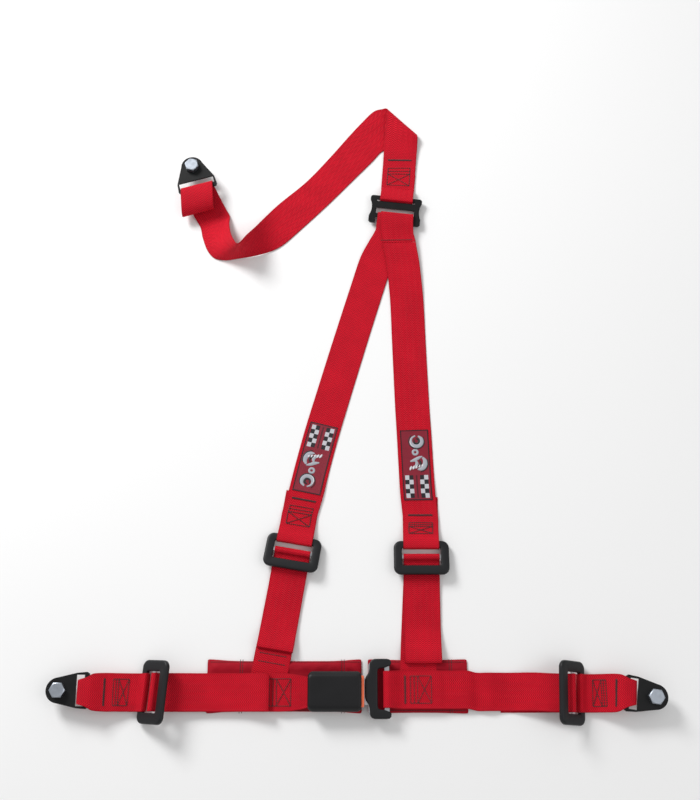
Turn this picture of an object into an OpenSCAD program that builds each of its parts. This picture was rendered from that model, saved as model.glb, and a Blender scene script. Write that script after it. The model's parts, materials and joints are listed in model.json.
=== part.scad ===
// Three-point racing harness with a shared rear strap, lying flat.
// +X is to the right along the lap strap, +Y runs up the shoulder straps, z = 0 is the surface it lies on.

/* [Webbing] */
// Width of the shoulder and lap webbing
web_w = 48; // [46:0.5:50]
// Thickness of one layer of webbing
web_t = 1.3; // [1.1:0.1:1.4]

/* [Adjusters] */
// Length of a lap adjuster across the webbing
adj_l = 80; // [78:1:84]
// Length of a shoulder adjuster across the webbing
shoulder_adj_l = 74; // [72:1:78]
// Width of an adjuster along the webbing
adj_w = 46; // [46:1:48]
// Thickness of an adjuster's plastic cover
adj_t = 6; // [6:0.2:6.2]

/* [Brackets and bolts] */
// Width of a lap bracket at its slot end
bracket_w = 46; // [45:0.5:50]
// Width of the rear bracket at its slot end
rear_bracket_w = 58; // [56:1:62]
// Thickness of the bracket plate
bracket_t = 3; // [2.5:0.1:3.2]
// Diameter of the bolt's shank
bolt_d = 11.11; // [10:0.01:11.2]
// Across flats of the bolt's head
bolt_af = 18; // [16:0.5:19]

/* [Buckle and pads] */
// Width of the buckle's case
case_w = 50; // [49:0.5:52]
// Height of the lap pads across the lap strap
pad_w = 72; // [68:1:76]
// Thickness of the lap pads
pad_t = 4; // [3:0.5:4]

/* [Hidden] */

red = [0.78, 0.04, 0.09];
thread_red = [0.25, 0.02, 0.03];
black = [0.06, 0.06, 0.07];
satin_black = [0.1, 0.1, 0.1];
zinc = [0.62, 0.65, 0.7];
steel = [0.55, 0.56, 0.58];
coral = [0.95, 0.3, 0.16];
nylon = [0.85, 0.85, 0.8];

// Y of the lap strap's centre line, which puts the origin at the middle of the whole
lap_y = -409.86;
ground_gap = 0.65;

// Bracket: distances from the bolt to the slot and the loop bar
nose_r = 16.1;
slot_near = 22.5;
slot_far = 33;
bar_len = 6;
bar_mid = slot_far + bar_len / 2;
bracket_side = 3.5;
plate_z = 17;
bar_z = plate_z + bracket_t / 2;
ring_r = 4.3;
bolt_left_at = [-381.6, 0];
bolt_right_at = [381.6, -8];
bolt_rear_at = [-242.7, 752];
right_axis = -8;
rear_axis = 106;

// Adjuster: bars across the webbing, measured from its middle towards the clamping side
sewn_bar = [-adj_w / 2, -14];
core_bar = [-3.5, 1.5];
clamp_bar = [11, adj_w / 2];
window_l = 52;
core_t = 2.5;
core_ring_r = 3.75;

// Places of the four adjusters: x, y, heading towards the clamping side, tilt, height and lean
lap_left = [-260.5, -2, 0, 38, 18.2, -4.5];
lap_right = [275.5, -3, 180, 40, 18.8, -2.5];
shoulder_left = [-85.5, 179, -99.5, 8, 8.3, 0];
shoulder_right = [87, 172, -90, 8, 8.3, 0];

// Yoke: middle, turn and height, and the distances of its upper and lower loop bars
yoke_at = [58.3, 686];
yoke_turn = -6.5;
yoke_z = 6.8;
yoke_upper = 19;
yoke_lower = 10;
yoke_t = 3;
rear_web_w = 50;
yoke_inner_r = 4.5;
yoke_outer_r = 6.05;

// Line about which the shoulder straps fold up from the lap
fold_y = 26;
fold_gap = 0.25;
// Point at which the right shoulder strap sways in its own plane
sway_y = 42;

// Levels over the lap pads
end_z = pad_t + 0.95;
lap_z = end_z + 1.65;
tail_z = lap_z + 1.65;

// Buckle
case_x = [-62.9, 6.8];
case_y = -1.2;
case_z = [4.4, 25];
case_split = 11;
shell = 2;
tongue_y = 2.3;
tongue_z = [12, 14.4];
latch_x = [-46, -20];
latch_slope = 0.122;

function unit(v) = v / norm(v);
function turned(p, a) = [p[0] * cos(a) - p[1] * sin(a), p[0] * sin(a) + p[1] * cos(a)];

// Catmull-Rom curve through all the points, with n steps between neighbours
function curve_at(a, b, c, d, t) =
    b + (c - a) * t / 2 + (2 * a - 5 * b + 4 * c - d) * t * t / 2
    + (3 * b - 3 * c + d - a) * t * t * t / 2;
function curve(p, n) = concat(
    [for (i = [0 : len(p) - 2], k = [0 : n - 1])
        curve_at(p[max(i - 1, 0)], p[i], p[i + 1], p[min(i + 2, len(p) - 1)], k / n)],
    [p[len(p) - 1]]
);

function along(p, i) = unit(p[min(i + 1, len(p) - 1)] - p[max(i - 1, 0)]);

// A strip of webbing between two edges, each a list of points, kept above the ground
module ribbon(edge_a, edge_b, t) {
    n = len(edge_a);
    side = [for (i = [0 : n - 1])
        unit(cross(along((edge_a + edge_b) / 2, i), unit(edge_b[i] - edge_a[i]))) * t / 2];
    points = [for (i = [0 : n - 1])
        each [for (p = [edge_a[i] - side[i], edge_b[i] - side[i], edge_b[i] + side[i], edge_a[i] + side[i]])
            [p[0], p[1], max(p[2], 0.02)]]];
    skin = [for (i = [0 : n - 2], k = [0 : 3])
        each [[4 * i + k, 4 * i + (k + 1) % 4, 4 * i + 4 + k],
              [4 * i + (k + 1) % 4, 4 * i + 4 + (k + 1) % 4, 4 * i + 4 + k]]];
    last = 4 * (n - 1);
    ends = [[0, 3, 2], [0, 2, 1], [last, last + 1, last + 2], [last, last + 2, last + 3]];
    polyhedron(points, concat(skin, ends));
}

// A strip along stations [x, y, z, ruling angle, width]
module strap(stations, n = 4) {
    line = curve(stations, n);
    edge_a = [for (p = line) [p[0], p[1], p[2]] - [cos(p[3]), sin(p[3]), 0] * p[4] / 2];
    edge_b = [for (p = line) [p[0], p[1], p[2]] + [cos(p[3]), sin(p[3]), 0] * p[4] / 2];
    ribbon(edge_a, edge_b, web_t);
}

// Stations from [distance, height] or [distance, height, width] along a heading
function run(at, heading, path, w = web_w, drift = 0) = [for (p = path)
    [at[0] + cos(heading) * p[0], at[1] + sin(heading) * p[0], p[1], heading + 90 + drift,
     is_undef(p[2]) ? w : p[2]]];
function ring(c, r, angles) = [for (a = angles) [c[0] + r * cos(a), c[1] + r * sin(a)]];
// Turns the rulings near an adjuster by its lean
function leaning(place, stations) = [for (p = stations) let (
    reach = norm([p[0] - place[0], p[1] - place[1]]))
    p + [0, 0, 0, place[5] * max(0, min(1, (50 - reach) / 24)), 0]];
function backwards(p) = [for (i = [len(p) - 1 : -1 : 0]) p[i]];
function tilted(place, p) = turned(p, place[3]) + [0, place[4]];
function core_ring(place, angles) = ring(tilted(place, [-1, 0]), core_ring_r, angles);

// The webbing's way round an adjuster's sewn bar, from its upper side to its lower side
sewn_loop = [[-23.5, 4.15], [-16, 4.05], [-14.3, 4], [-13.25, 3.4], [-12.95, 2], [-12.95, -2],
             [-13.25, -3.4], [-14.3, -4], [-16, -4.05], [-22.5, -4.05]];
function sewn(place) = [for (p = sewn_loop) tilted(place, p)];

module lap_frame() {
    translate([0, lap_y, 0]) children();
}

// Rounded rectangle from exact pieces
module round_plate(x, y, r, h) {
    translate([-x / 2 + r, -y / 2, 0]) cube([x - 2 * r, y, h]);
    translate([-x / 2, -y / 2 + r, 0]) cube([x, y - 2 * r, h]);
    for (i = [-1, 1], k = [-1, 1])
        translate([i * (x / 2 - r), k * (y / 2 - r), 0]) cylinder(r = r, h = h, $fn = 48);
}

// ---- Brackets, bolts and retainers ----

// Plate lying with its bolt at the origin and its slot towards -X
module bracket(w) {
    slot_l = w - 2 * bracket_side;
    color(satin_black) difference() {
        linear_extrude(bracket_t) union() {
            circle(nose_r, $fn = 72);
            polygon([[4, nose_r - 0.6], [4, -nose_r + 0.6], [-slot_near - 1, -w / 2 + 1],
                     [-bar_mid, -w / 2], [-slot_far - bar_len, -w / 2 + 2],
                     [-slot_far - bar_len, w / 2 - 2], [-bar_mid, w / 2],
                     [-slot_near - 1, w / 2 - 1]]);
        }
        translate([0, 0, -1]) cylinder(r = shoulder_d / 2 + 0.06, h = bracket_t + 2, $fn = 72);
        translate([-(slot_near + slot_far) / 2, 0, -1])
            translate([-(slot_far - slot_near) / 2, -slot_l / 2, 0])
                cube([slot_far - slot_near, slot_l, bracket_t + 2]);
    }
}

head_h = 8;
bolt_tip = 1.2;
// The plain shoulder under the head, on which the bracket turns
shoulder_d = bolt_d + 1.6;
shoulder_h = 5.6;
neck_h = 0.4;

// Hexagon bolt standing on its tip, with a chamfered head and a neck below the shoulder
module bolt() {
    color(zinc) difference() {
        union() {
            cylinder(d = bolt_d, h = plate_z + bracket_t + 1, $fn = 72);
            translate([0, 0, plate_z + bracket_t - shoulder_h]) cylinder(d = shoulder_d, h = shoulder_h + 1, $fn = 72);
            translate([0, 0, plate_z + bracket_t + 0.05]) intersection() {
                cylinder(d = bolt_af / cos(30), h = head_h, $fn = 6);
                rotate_extrude($fn = 72)
                    polygon([[0, 0], [bolt_af / 2 + 1.8, 0], [bolt_af / 2 + 1.8, head_h - 1.4],
                             [bolt_af / 2 - 0.6, head_h], [0, head_h]]);
            }
        }
        translate([0, 0, -1]) difference() {
            cylinder(d = bolt_d + 4, h = bolt_tip + 1, $fn = 72);
            translate([0, 0, -1]) cylinder(d = bolt_d - 2.4, h = 4, $fn = 72);
        }
        translate([0, 0, plate_z + bracket_t - shoulder_h - neck_h]) difference() {
            cylinder(d = bolt_d + 4, h = neck_h, $fn = 72);
            translate([0, 0, -1]) cylinder(d = bolt_d - 1, h = 2, $fn = 72);
        }
    }
}

retainer_t = 1.6;

// Nylon washer that keeps the bolt in the bracket
module retainer() {
    color(nylon) translate([0, 0, plate_z - retainer_t - 0.1]) difference() {
        cylinder(r = 9.5, h = retainer_t, $fn = 60);
        translate([0, 0, -1]) cylinder(r = shoulder_d / 2 + 0.04, h = retainer_t + 2, $fn = 72);
    }
}

module at_left() {
    lap_frame() translate([bolt_left_at[0], bolt_left_at[1], 0]) rotate([0, 0, 180]) children();
}
module at_right() {
    lap_frame() translate([bolt_right_at[0], bolt_right_at[1], 0]) rotate([0, 0, right_axis]) children();
}
module at_rear() {
    lap_frame() translate([bolt_rear_at[0], bolt_rear_at[1], 0]) rotate([0, 0, rear_axis]) children();
}
module bracket_left() { at_left() translate([0, 0, plate_z]) bracket(bracket_w); }
module bracket_right() { at_right() translate([0, 0, plate_z]) bracket(bracket_w); }
module bracket_rear() { at_rear() translate([0, 0, plate_z]) bracket(rear_bracket_w); }
module bolt_left() { at_left() bolt(); }
module bolt_right() { at_right() bolt(); }
module bolt_rear() { at_rear() bolt(); }
module retainer_left() { at_left() retainer(); }
module retainer_right() { at_right() retainer(); }
module retainer_rear() { at_rear() retainer(); }

// ---- Adjusters ----

module place_adjuster(place) {
    lap_frame() translate([place[0], place[1], place[4]]) rotate([0, 0, place[2] + place[5]])
        rotate([0, -place[3], 0]) children();
}

core_edge = 4;

// Steel three-bar plate inside the adjuster
module adjuster_core(l) {
    color(steel) difference() {
        translate([0, 0, -core_t / 2])
            round_plate(adj_w - 2 * core_edge, l - 2 * core_edge, 5, core_t);
        for (slot = [[sewn_bar[1], core_bar[0]], [core_bar[1], clamp_bar[0]]])
            translate([slot[0], -window_l / 2, -core_t])
                cube([slot[1] - slot[0], window_l, 2 * core_t]);
    }
}

// Plastic moulded round the steel plate, open over both slots
module adjuster_cover(l) {
    color(black) difference() {
        union() {
            translate([0, 0, -adj_t / 2]) round_plate(adj_w, l, 9, adj_t - 1);
            translate([0, 0, adj_t / 2 - 1]) round_plate(adj_w - 2, l - 2, 8, 1);
        }
        translate([sewn_bar[1], -window_l / 2, -adj_t])
            cube([clamp_bar[0] - sewn_bar[1], window_l, 2 * adj_t]);
        translate([0, 0, -core_t / 2])
            round_plate(adj_w - 2 * core_edge, l - 2 * core_edge, 5, core_t);
    }
}

module adjuster_core_lap_left() { place_adjuster(lap_left) adjuster_core(adj_l); }
module adjuster_core_lap_right() { place_adjuster(lap_right) adjuster_core(adj_l); }
module adjuster_core_shoulder_left() { place_adjuster(shoulder_left) adjuster_core(shoulder_adj_l); }
module adjuster_core_shoulder_right() { place_adjuster(shoulder_right) adjuster_core(shoulder_adj_l); }
module adjuster_cover_lap_left() { place_adjuster(lap_left) adjuster_cover(adj_l); }
module adjuster_cover_lap_right() { place_adjuster(lap_right) adjuster_cover(adj_l); }
module adjuster_cover_shoulder_left() { place_adjuster(shoulder_left) adjuster_cover(shoulder_adj_l); }
module adjuster_cover_shoulder_right() { place_adjuster(shoulder_right) adjuster_cover(shoulder_adj_l); }

// ---- Lap straps ----

// The pinched loop round a bracket's bar: distance from the bar, height from it, and width
bar_loop = [[9, -4.4, 41], [4, -4.45, 36.5], [0, -4.4, 35], [-5, -4.1, 33.5], [-9.5, -3, 31], [-11.6, 0, 30],
            [-9.5, 3, 31], [-5, 4.1, 33.5], [0, 4.35, 35], [4, 4.35, 36.5], [9, 2.8, 41]];

// Short strap sewn round the bracket's bar and the adjuster's outer bar
module lap_end(place, bar_s, axis, under, over, last) {
    path = concat(
        under, [for (p = bar_loop) [bar_s + p[0], bar_z + p[1], p[2]]],
        over, [[-34, 7.6], [-27, 6.9]],
        sewn(place),
        [[-27, 3.1], [-34, 6.1], last]
    );
    line = leaning(place, run(place, place[2], path));
    bar_x = place[0] + cos(place[2]) * bar_s;
    color(red) lap_frame() strap([for (p = line)
        p + [0, 0, 0, axis * max(0, min(1, (24 - abs(p[0] - bar_x)) / 18)), 0]]);
}
module lap_end_left() {
    lap_end(lap_left, -85.1, 0, [[-50, 9.9], [-64, 13.2, 47]], [[-64, 15.6, 47], [-50, 11.4]], [-47, 9.2]);
}
module lap_end_right() {
    lap_end(lap_right, -70.45, right_axis, [[-43, 9.3], [-54, 12.4, 46]], [[-55, 17.4, 45], [-46, 12.8]], [-40, 8.2]);
}

// Left: the tail comes back on top of the running strap and ends in a folded edge
module lap_loop_left() {
    path = concat(
        [[134, tail_z], [144, tail_z], [147.2, tail_z + 0.85], [144, tail_z + 1.7],
         [134, tail_z + 1.7], [118, tail_z + 0.4], [90, tail_z], [66, tail_z], [50, 9.1], [22, 13],
         [8, 15]],
        core_ring(lap_left, [-22, 30, 90, 150, 210, 260]),
        [[6, 10.8], [14, 5.4], [21, 2], [25, 1]]
    );
    color(red) lap_frame() strap(leaning(lap_left, run(lap_left, lap_left[2], path)));
}

buckle_bar = [-55, 10.25];
buckle_ring_r = 4.15;

// From under the left adjuster to its sewn loop round the buckle frame's bar
module lap_strap_left() {
    bar_s = buckle_bar[0] - lap_left[0];
    path = concat(
        [[25.4, 0.9], [34, ground_gap], [43, ground_gap], [53, 2.7], [61.5, end_z], [70, end_z], [98, end_z],
         [112, lap_z - 0.6], [122, lap_z], [149, lap_z], [157, lap_z + 0.9], [165, lap_z + 1.7],
         [178, lap_z + 1.9, 46], [190, lap_z + 3, 42], [bar_s - 6, 12.8, 38]],
        [for (p = ring([bar_s, buckle_bar[1]], buckle_ring_r, [110, 60, 0, -60, -110])) [p[0], p[1], 38]],
        [[190, lap_z - 0.1, 40], [178, lap_z, 44], [160, lap_z, 46]]
    );
    color(red) lap_frame() strap(leaning(lap_left, run(lap_left, 0, path)));
}

tongue_bar = [39, 13.2];

// From under the right adjuster to its sewn loop round the tongue's bar
module lap_strap_right() {
    bar_s = lap_right[0] - tongue_bar[0];
    path = concat(
        [[25, 14.8], [48, 9.4], [76, 2.9], [92, 3.6], [105, 5.2], [120, 3.9], [132, lap_z], [150, lap_z],
         [162, lap_z + 0.2], [172, lap_z + 1.7], [206, lap_z + 1.8], [218, lap_z + 3], [228, 14.8, 47],
         [bar_s - 3, 17.4, 46]],
        [for (p = ring([bar_s, tongue_bar[1]], ring_r, [85, 40, 0, -40, -90])) [p[0], p[1], 46]],
        [[226, lap_z + 0.7, 46], [216, lap_z, 46], [176, lap_z, 46]]
    );
    line = leaning(lap_right, run(lap_right, 180, path));
    color(red) lap_frame() strap([for (p = line) p + [0, p[0] < 150 ? 4.5 : 2, 0, 0, 0]]);
}

// Right: the running strap comes in on top and the tail goes back underneath
module lap_loop_right() {
    path = concat(
        [[24, 15], [8, 18.8]],
        core_ring(lap_right, [30, 90, 150, 210, 260]),
        [[8, 11.8], [30, 6.2], [50, 1.4], [70, ground_gap], [90, ground_gap]]
    );
    color(red) lap_frame() strap(leaning(lap_right, run(lap_right, lap_right[2], path)));
}

// ---- Shoulder straps below the adjusters ----

module beyond(y_low, y_high) {
    intersection() {
        children();
        translate([-300, y_low, -1]) cube([600, y_high - y_low, 60]);
    }
}

// From under an adjuster to the far end of the pad, which it climbs at the distance given
function lower_path(climb, reach) = [[25.4, ground_gap], [50, ground_gap], [climb - 29, ground_gap],
    [climb - 17, 1.5], [climb - 7, 3.6], [climb, end_z], [reach, end_z]];
lower_left_turn = -0.5;
lower_right_turn = -3.2;

module lower_strap(place, turn, climb, reach) {
    start = [place[0] + cos(place[2]) * 25, place[1] + sin(place[2]) * 25];
    heading = place[2] + turn;
    path = [for (p = lower_path(climb, reach)) [p[0] - 25, p[1]]];
    strap(run(start, heading, path));
}

module shoulder_lower_left() {
    color(red) lap_frame() beyond(fold_y + fold_gap, shoulder_left[1]) lower_strap(shoulder_left, lower_left_turn, 137, 202);
}
module shoulder_lower_right() {
    color(red) lap_frame() beyond(sway_y + 1.1, shoulder_right[1] - 27.5) lower_strap(shoulder_right, lower_right_turn, 130, 193);
}
module shoulder_root_right() {
    color(red) lap_frame() beyond(fold_y + fold_gap, sway_y - 1.1)
        lower_strap(shoulder_right, lower_right_turn, 130, 193);
}
module shoulder_end_left() {
    color(red) lap_frame() beyond(-100, fold_y - fold_gap) lower_strap(shoulder_left, lower_left_turn, 137, 202);
}
module shoulder_end_right() {
    color(red) lap_frame() beyond(-100, fold_y - fold_gap) lower_strap(shoulder_right, lower_right_turn, 130, 193);
}

module shoulder_loop(place, tail) {
    path = concat(
        tail,
        [[60, 2.5], [42, 2.9], [28, 4.5], [16, 5.1], [7, 6.1]],
        core_ring(place, [-15, 30, 90, 150, 210, 260]),
        [[6, 3.4], [15, 1.2], [25, ground_gap]]
    );
    color(red) lap_frame() strap(run(place, place[2], path));
}
module shoulder_loop_left() {
    shoulder_loop(shoulder_left,
        [[112, 2.9], [124, 4.6], [128.4, 6.1], [125, 6.7], [112, 4.7], [100, 3], [80, 2.4]]);
}
module shoulder_loop_right() {
    shoulder_loop(shoulder_right,
        [[121, 5.9], [133, tail_z - 1.3], [136.6, tail_z - 0.4], [133, tail_z + 0.4], [121, 7.6],
         [109, 4.8], [93, 2.6], [78, 2.4]]);
}

// ---- Shoulder straps above the adjusters ----

// Sewn loop round the adjuster's upper bar, as stations from the hidden end to the upper layer
function upper_loop(place) = run(place, place[2],
    concat([[-84, ground_gap], [-60, ground_gap], [-40, 1.1], [-29, 2.6]], backwards(sewn(place)),
           [[-29, 6.4], [-41, 3.4], [-56, 2.2]]));

function yoke_point(p) = yoke_at + turned(p, yoke_turn);
// A station near the yoke: distance below its loop bar, height and sideways shift
function yoke_station(below, z, w = web_w, shift = 0, turn = 0) = let (
    p = yoke_point([shift, -yoke_lower - below]))
    [p[0], p[1], z, yoke_turn + turn, w];
function yoke_ring(r, shift) = [for (a = [70, 35, 0, -35, -70])
    yoke_station(-r * cos(a), yoke_z + r * sin(a), web_w, shift)];

left_line = concat(
        [for (p = upper_loop(shoulder_left)) [p[0], p[1], p[2], -9.5, p[4]]],
        [[-68.4, 262, 1.9, -11.5, web_w], [-60.5, 296, ground_gap, -12.5, web_w],
         [-48, 345, ground_gap, -13.5, web_w], [-33.7, 395, ground_gap, -14.5, web_w],
         [-9.5, 478, ground_gap, -16, web_w], [15.4, 561, ground_gap, -16.5, web_w],
         [29.4, 606, 1.4, -16, web_w], [42, 632, 3.6, -12, web_w]],
        [yoke_station(25, 5.6, web_w, -2, -2), yoke_station(15, 8, web_w, -1.5, -1), yoke_station(7, 10.3, web_w, -1)],
        yoke_ring(yoke_inner_r, -1),
        [yoke_station(7, 3.3, web_w, -1), yoke_station(16, 2.3, web_w, -1), yoke_station(43, 2.3, web_w, -3, -4)]
    );
module shoulder_strap_left() { color(red) lap_frame() strap(left_line); }

module yoke_loop_right() {
    color(red) lap_frame() strap(concat(
        [yoke_station(39.3, 6.1, web_w, 11.3, 8.5), yoke_station(32, 6.7, web_w, 8.8, 6),
         yoke_station(25, 8, web_w, 6.5, 3), yoke_station(16, 10.2, web_w, 5, 1.5), yoke_station(8, 11.9, web_w, 4)],
        yoke_ring(yoke_outer_r, 3.5),
        [yoke_station(8, 1.4, web_w, 3.5), yoke_station(16, ground_gap, web_w, 3.5),
         yoke_station(45, ground_gap, web_w, 6, 3)]
    ));
}

right_line = concat(
        [for (p = upper_loop(shoulder_right)) [p[0], p[1], p[2], 0, p[4]]],
        [[84, 262, 1.9, 1, web_w], [82.5, 296, ground_gap, 1.5, web_w],
         [80.5, 345, ground_gap, 2, web_w], [78.3, 395, ground_gap, 2, web_w],
         [75.5, 480, ground_gap, 2, web_w], [73.8, 538, 1.1, 2.5, web_w], [72, 566, 2.6, 3, web_w],
         [68.8, 602, 4, 3, web_w], [65.2, 625, 5.8, 2.5, web_w], [64, 634.8, 6.1, 2, web_w]]
    );
module shoulder_strap_right() { color(red) lap_frame() strap(right_line); }

// ---- Rear strap ----

// Edges of the free stretch: up from the yoke, folded over, down to the left, turned up on edge
rear_edge_a = [[87, 722, 2.1], [90.5, 765, 2.1], [93, 795, 4.4], [93.5, 808, 7.2], [92.5, 815, 4],
    [89, 812, 1], [66, 801, ground_gap], [41, 789, ground_gap], [25, 771, ground_gap],
    [-1.5, 742, ground_gap], [-39, 701, ground_gap], [-78, 661, ground_gap], [-106, 634, 0.8],
    [-125, 623, 1], [-148, 616, 1.1], [-171, 612, 1.2], [-190, 609, 1.2], [-206, 612, 1.1],
    [-217, 624, 1], [-225, 645, 1], [-229, 662, 1]];
rear_edge_b = [[38, 726, 2.1], [41, 765, 2.1], [43.5, 805, 4.4], [47.5, 852, 7.2], [46, 861, 4],
    [42, 862, 1], [27, 857, ground_gap], [6, 834, ground_gap], [-12, 812, ground_gap],
    [-38, 779, ground_gap], [-73, 738, ground_gap], [-112, 702, 1], [-132, 677, 8],
    [-145, 654, 22], [-157, 632, 38], [-167, 615, 46], [-173, 619, 44], [-179, 633, 35],
    [-183, 649, 23], [-185.5, 665, 11], [-186, 679, 3.5]];

rear_bar = bolt_rear_at - [cos(rear_axis), sin(rear_axis)] * bar_mid;
// Stations of the big loop round the rear bracket's bar: distance, height and sideways shift
rear_roll = [[-38, 3.4, 8], [-24, 6.4, 5], [-10, 10.4, 2], [0, 13.6, 0], [3.6, 15.6, 0],
    [5, 18.5, -0.5], [3.7, 21.6, -1], [-2, 23.6, -2], [-12, 24.6, -4], [-24, 23.4, -6.5], [-33, 19, -8.5],
    [-36.5, 13.5, -9], [-33, 9.4, -7.5], [-26, 8.2, -5], [-18, 10, -3]];

function roll_stations(side) = [for (p = rear_roll) let (
    at = rear_bar + [cos(rear_axis), sin(rear_axis)] * p[0]
        + [sin(rear_axis), -cos(rear_axis)] * (p[2] + side * web_w / 2))
    [at[0], at[1], p[1]]];

// Sewn loop round the yoke's upper bar, from its hidden end
rear_yoke_loop = concat(
    [[46, ground_gap], [30, ground_gap], [16, ground_gap], [8, 1.9]],
    [for (a = [-70, -35, 0, 35, 70]) [-yoke_inner_r * cos(a), yoke_z + yoke_inner_r * sin(a)]],
    [[8, 9.2], [18, 5.4]]
);
function rear_loop_edge(side) = [for (p = rear_yoke_loop) let (
    at = yoke_point([side * rear_web_w / 2 * 0.97, yoke_upper + p[0]])) [at[0], at[1], p[1]]];

module rear_strap() {
    edge_a = curve(concat(rear_loop_edge(1), rear_edge_a, roll_stations(-1)), 4);
    edge_b = curve(concat(rear_loop_edge(-1), rear_edge_b, roll_stations(1)), 4);
    color(red) lap_frame() ribbon(edge_a, edge_b, web_t);
}

// Plate with a narrow upper slot, a wider lower slot, ears and hollowed sides
module yoke_plate() {
    yoke_l = 76;
    yoke_h = 44;
    slot_l = 56;
    color(black) lap_frame() translate([yoke_at[0], yoke_at[1], yoke_z - yoke_t / 2])
        rotate([0, 0, yoke_turn]) difference() {
            round_plate(yoke_l, yoke_h, 4, yoke_t);
            for (side = [-1, 1])
                translate([side * (yoke_l / 2 + 28), 2, -1]) cylinder(r = 31, h = yoke_t + 2, $fn = 96);
            for (gap = [[-yoke_h, -yoke_lower - 3], [-yoke_lower + 3, 3], [12.8, yoke_upper - 3]])
                translate([-slot_l / 2, gap[0], -1]) cube([slot_l, gap[1] - gap[0], yoke_t + 2]);
        }
}

// ---- Stitching and labels ----

thread = 0.9;
thread_h = 0.5;

module seam_line(a, b) {
    d = b - a;
    translate(a) rotate([0, 0, atan2(d[1], d[0])]) translate([0, -thread / 2]) square([norm(d), thread]);
}

// Share of a sewn box's length that its cross takes up
cross_share = 0.66;

// Box of thread with a cross at its near end and two lines beyond it, lying along +X
module box_stitch(l, w) {
    color(thread_red) linear_extrude(thread_h) {
        for (x = [0, l * cross_share, l * 0.82, l]) seam_line([x, -w / 2], [x, w / 2]);
        for (side = [-1, 1]) seam_line([0, side * w / 2], [l, side * w / 2]);
        seam_line([0, -w / 2], [l * cross_share, w / 2]);
        seam_line([0, w / 2], [l * cross_share, -w / 2]);
    }
}

module bar_tack(w) {
    color(thread_red) translate([-1.5, -w / 2, 0]) cube([3, w, thread_h]);
}

module on_strap(at, heading, tilt, z) {
    lap_frame() translate([at[0], at[1], z]) rotate([0, 0, heading]) rotate([0, -tilt, 0]) children();
}

module stitching_rear() {
    on_strap([62.3, 731], 86, 0, 3.6) {
        box_stitch(32, 34);
        translate([43, 0, 0]) bar_tack(36);
    }
}
module stitching_shoulder_left() {
    on_strap([-80.8, 206], 80.5, -7.5, 8.6) {
        box_stitch(30, 34);
        translate([39, 0, 0.5]) bar_tack(34);
    }
}
module stitching_shoulder_right() {
    on_strap([87, 198], 91, -8.5, 9.2) {
        box_stitch(24, 34);
        translate([34, 0, 0.8]) bar_tack(34);
    }
}
// Box and tack on a short lap strap, as [distance from the adjuster, tilt, height]
module lap_end_stitch(place, box, box_l, tack) {
    on_strap([place[0] - cos(place[2]) * box[0], place[1]], place[2] + 180, box[1], box[2]) box_stitch(box_l, 34);
    on_strap([place[0] - cos(place[2]) * tack[0], place[1]], place[2] + 180, tack[1], tack[2]) bar_tack(34);
}
module stitching_lap_end_left() { lap_end_stitch(lap_left, [27, 11.8, 8.1], 26, [62.5, 17, 16.4]); }
module stitching_lap_end_right() { lap_end_stitch(lap_right, [24, 13.3, 9.6], 22, [57.5, 29, 21]); }
module stitching_buckle() {
    on_strap([-74, -2], 180, -3.5, lap_z + 4.1) box_stitch(22, 34);
}
module stitching_tongue() {
    on_strap([98, 1], 180, 0, lap_z + 2.55) { box_stitch(26, 34); translate([33, 0, 0.4]) bar_tack(36); }
}

label_l = 100;
label_w = 39;
label_t = 0.6;

// Woven label that follows the strap's upper face
module label(line, at, heading) {
    first = len(upper_loop(shoulder_left)) - 2;
    above = (web_t + label_t) / 2 + 0.1;
    path = curve([for (i = [first : first + 6]) line[i] + [0, 0, above, 0, label_w - web_w]], 4);
    half = [for (p = path) [cos(p[3]), sin(p[3]), 0] * label_w / 2];
    middle = [for (p = path) [p[0], p[1], p[2]]];
    color([0.4, 0.02, 0.06]) lap_frame() intersection() {
        ribbon(middle - half, middle + half, label_t);
        translate([at[0], at[1], 0]) rotate([0, 0, heading])
            translate([-label_w, -label_l / 2, 0]) cube([2 * label_w, label_l, 10]);
    }
}
module label_left() { label(left_line, [-57.4, 310.3], -11.8); }
module label_right() { label(right_line, [82.4, 302], 1.7); }

// ---- Lap pads ----

pad_mid_y = 6;
module pad(x0, x1) {
    color([0.7, 0.03, 0.08]) lap_frame() translate([(x0 + x1) / 2, pad_mid_y, 0.02])
        round_plate(x1 - x0, pad_w, 4, pad_t - 0.04);
}
module lap_pad_left() { pad(-197, 9.5); }
module lap_pad_right() { pad(12.5, 146); }

// ---- Buckle ----

case_mid = (case_x[0] + case_x[1]) / 2;
case_l = case_x[1] - case_x[0];
mouth_w = 44;

module case_block(grow, h) {
    translate([case_mid, case_y, 0]) round_plate(case_l - 2 * grow, case_w - 2 * grow, 7 - grow, h);
}

module buckle_cover() {
    color(black) lap_frame() {
        difference() {
            union() {
                translate([0, 0, case_split]) case_block(0, case_z[1] - case_split - 2);
                translate([0, 0, case_z[1] - 2]) case_block(1, 1);
                translate([0, 0, case_z[1] - 1]) case_block(2, 1);
            }
            translate([0, 0, case_split - 1]) case_block(shell, case_z[1] - case_split - shell + 1);
            translate([case_x[0] - 5, case_y - mouth_w / 2, case_split - 1]) cube([20, mouth_w, 7]);
            translate([case_x[1] - 12, case_y - 20.5, case_split - 1]) cube([20, 41, 12.5]);
        }
        for (p = screw_at) translate([p[0], p[1], case_split]) difference() {
            cylinder(r = boss_r, h = case_z[1] - case_split - shell, $fn = 32);
            translate([0, 0, -1]) cylinder(r = 1.3, h = 10, $fn = 32);
        }
    }
}

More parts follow.
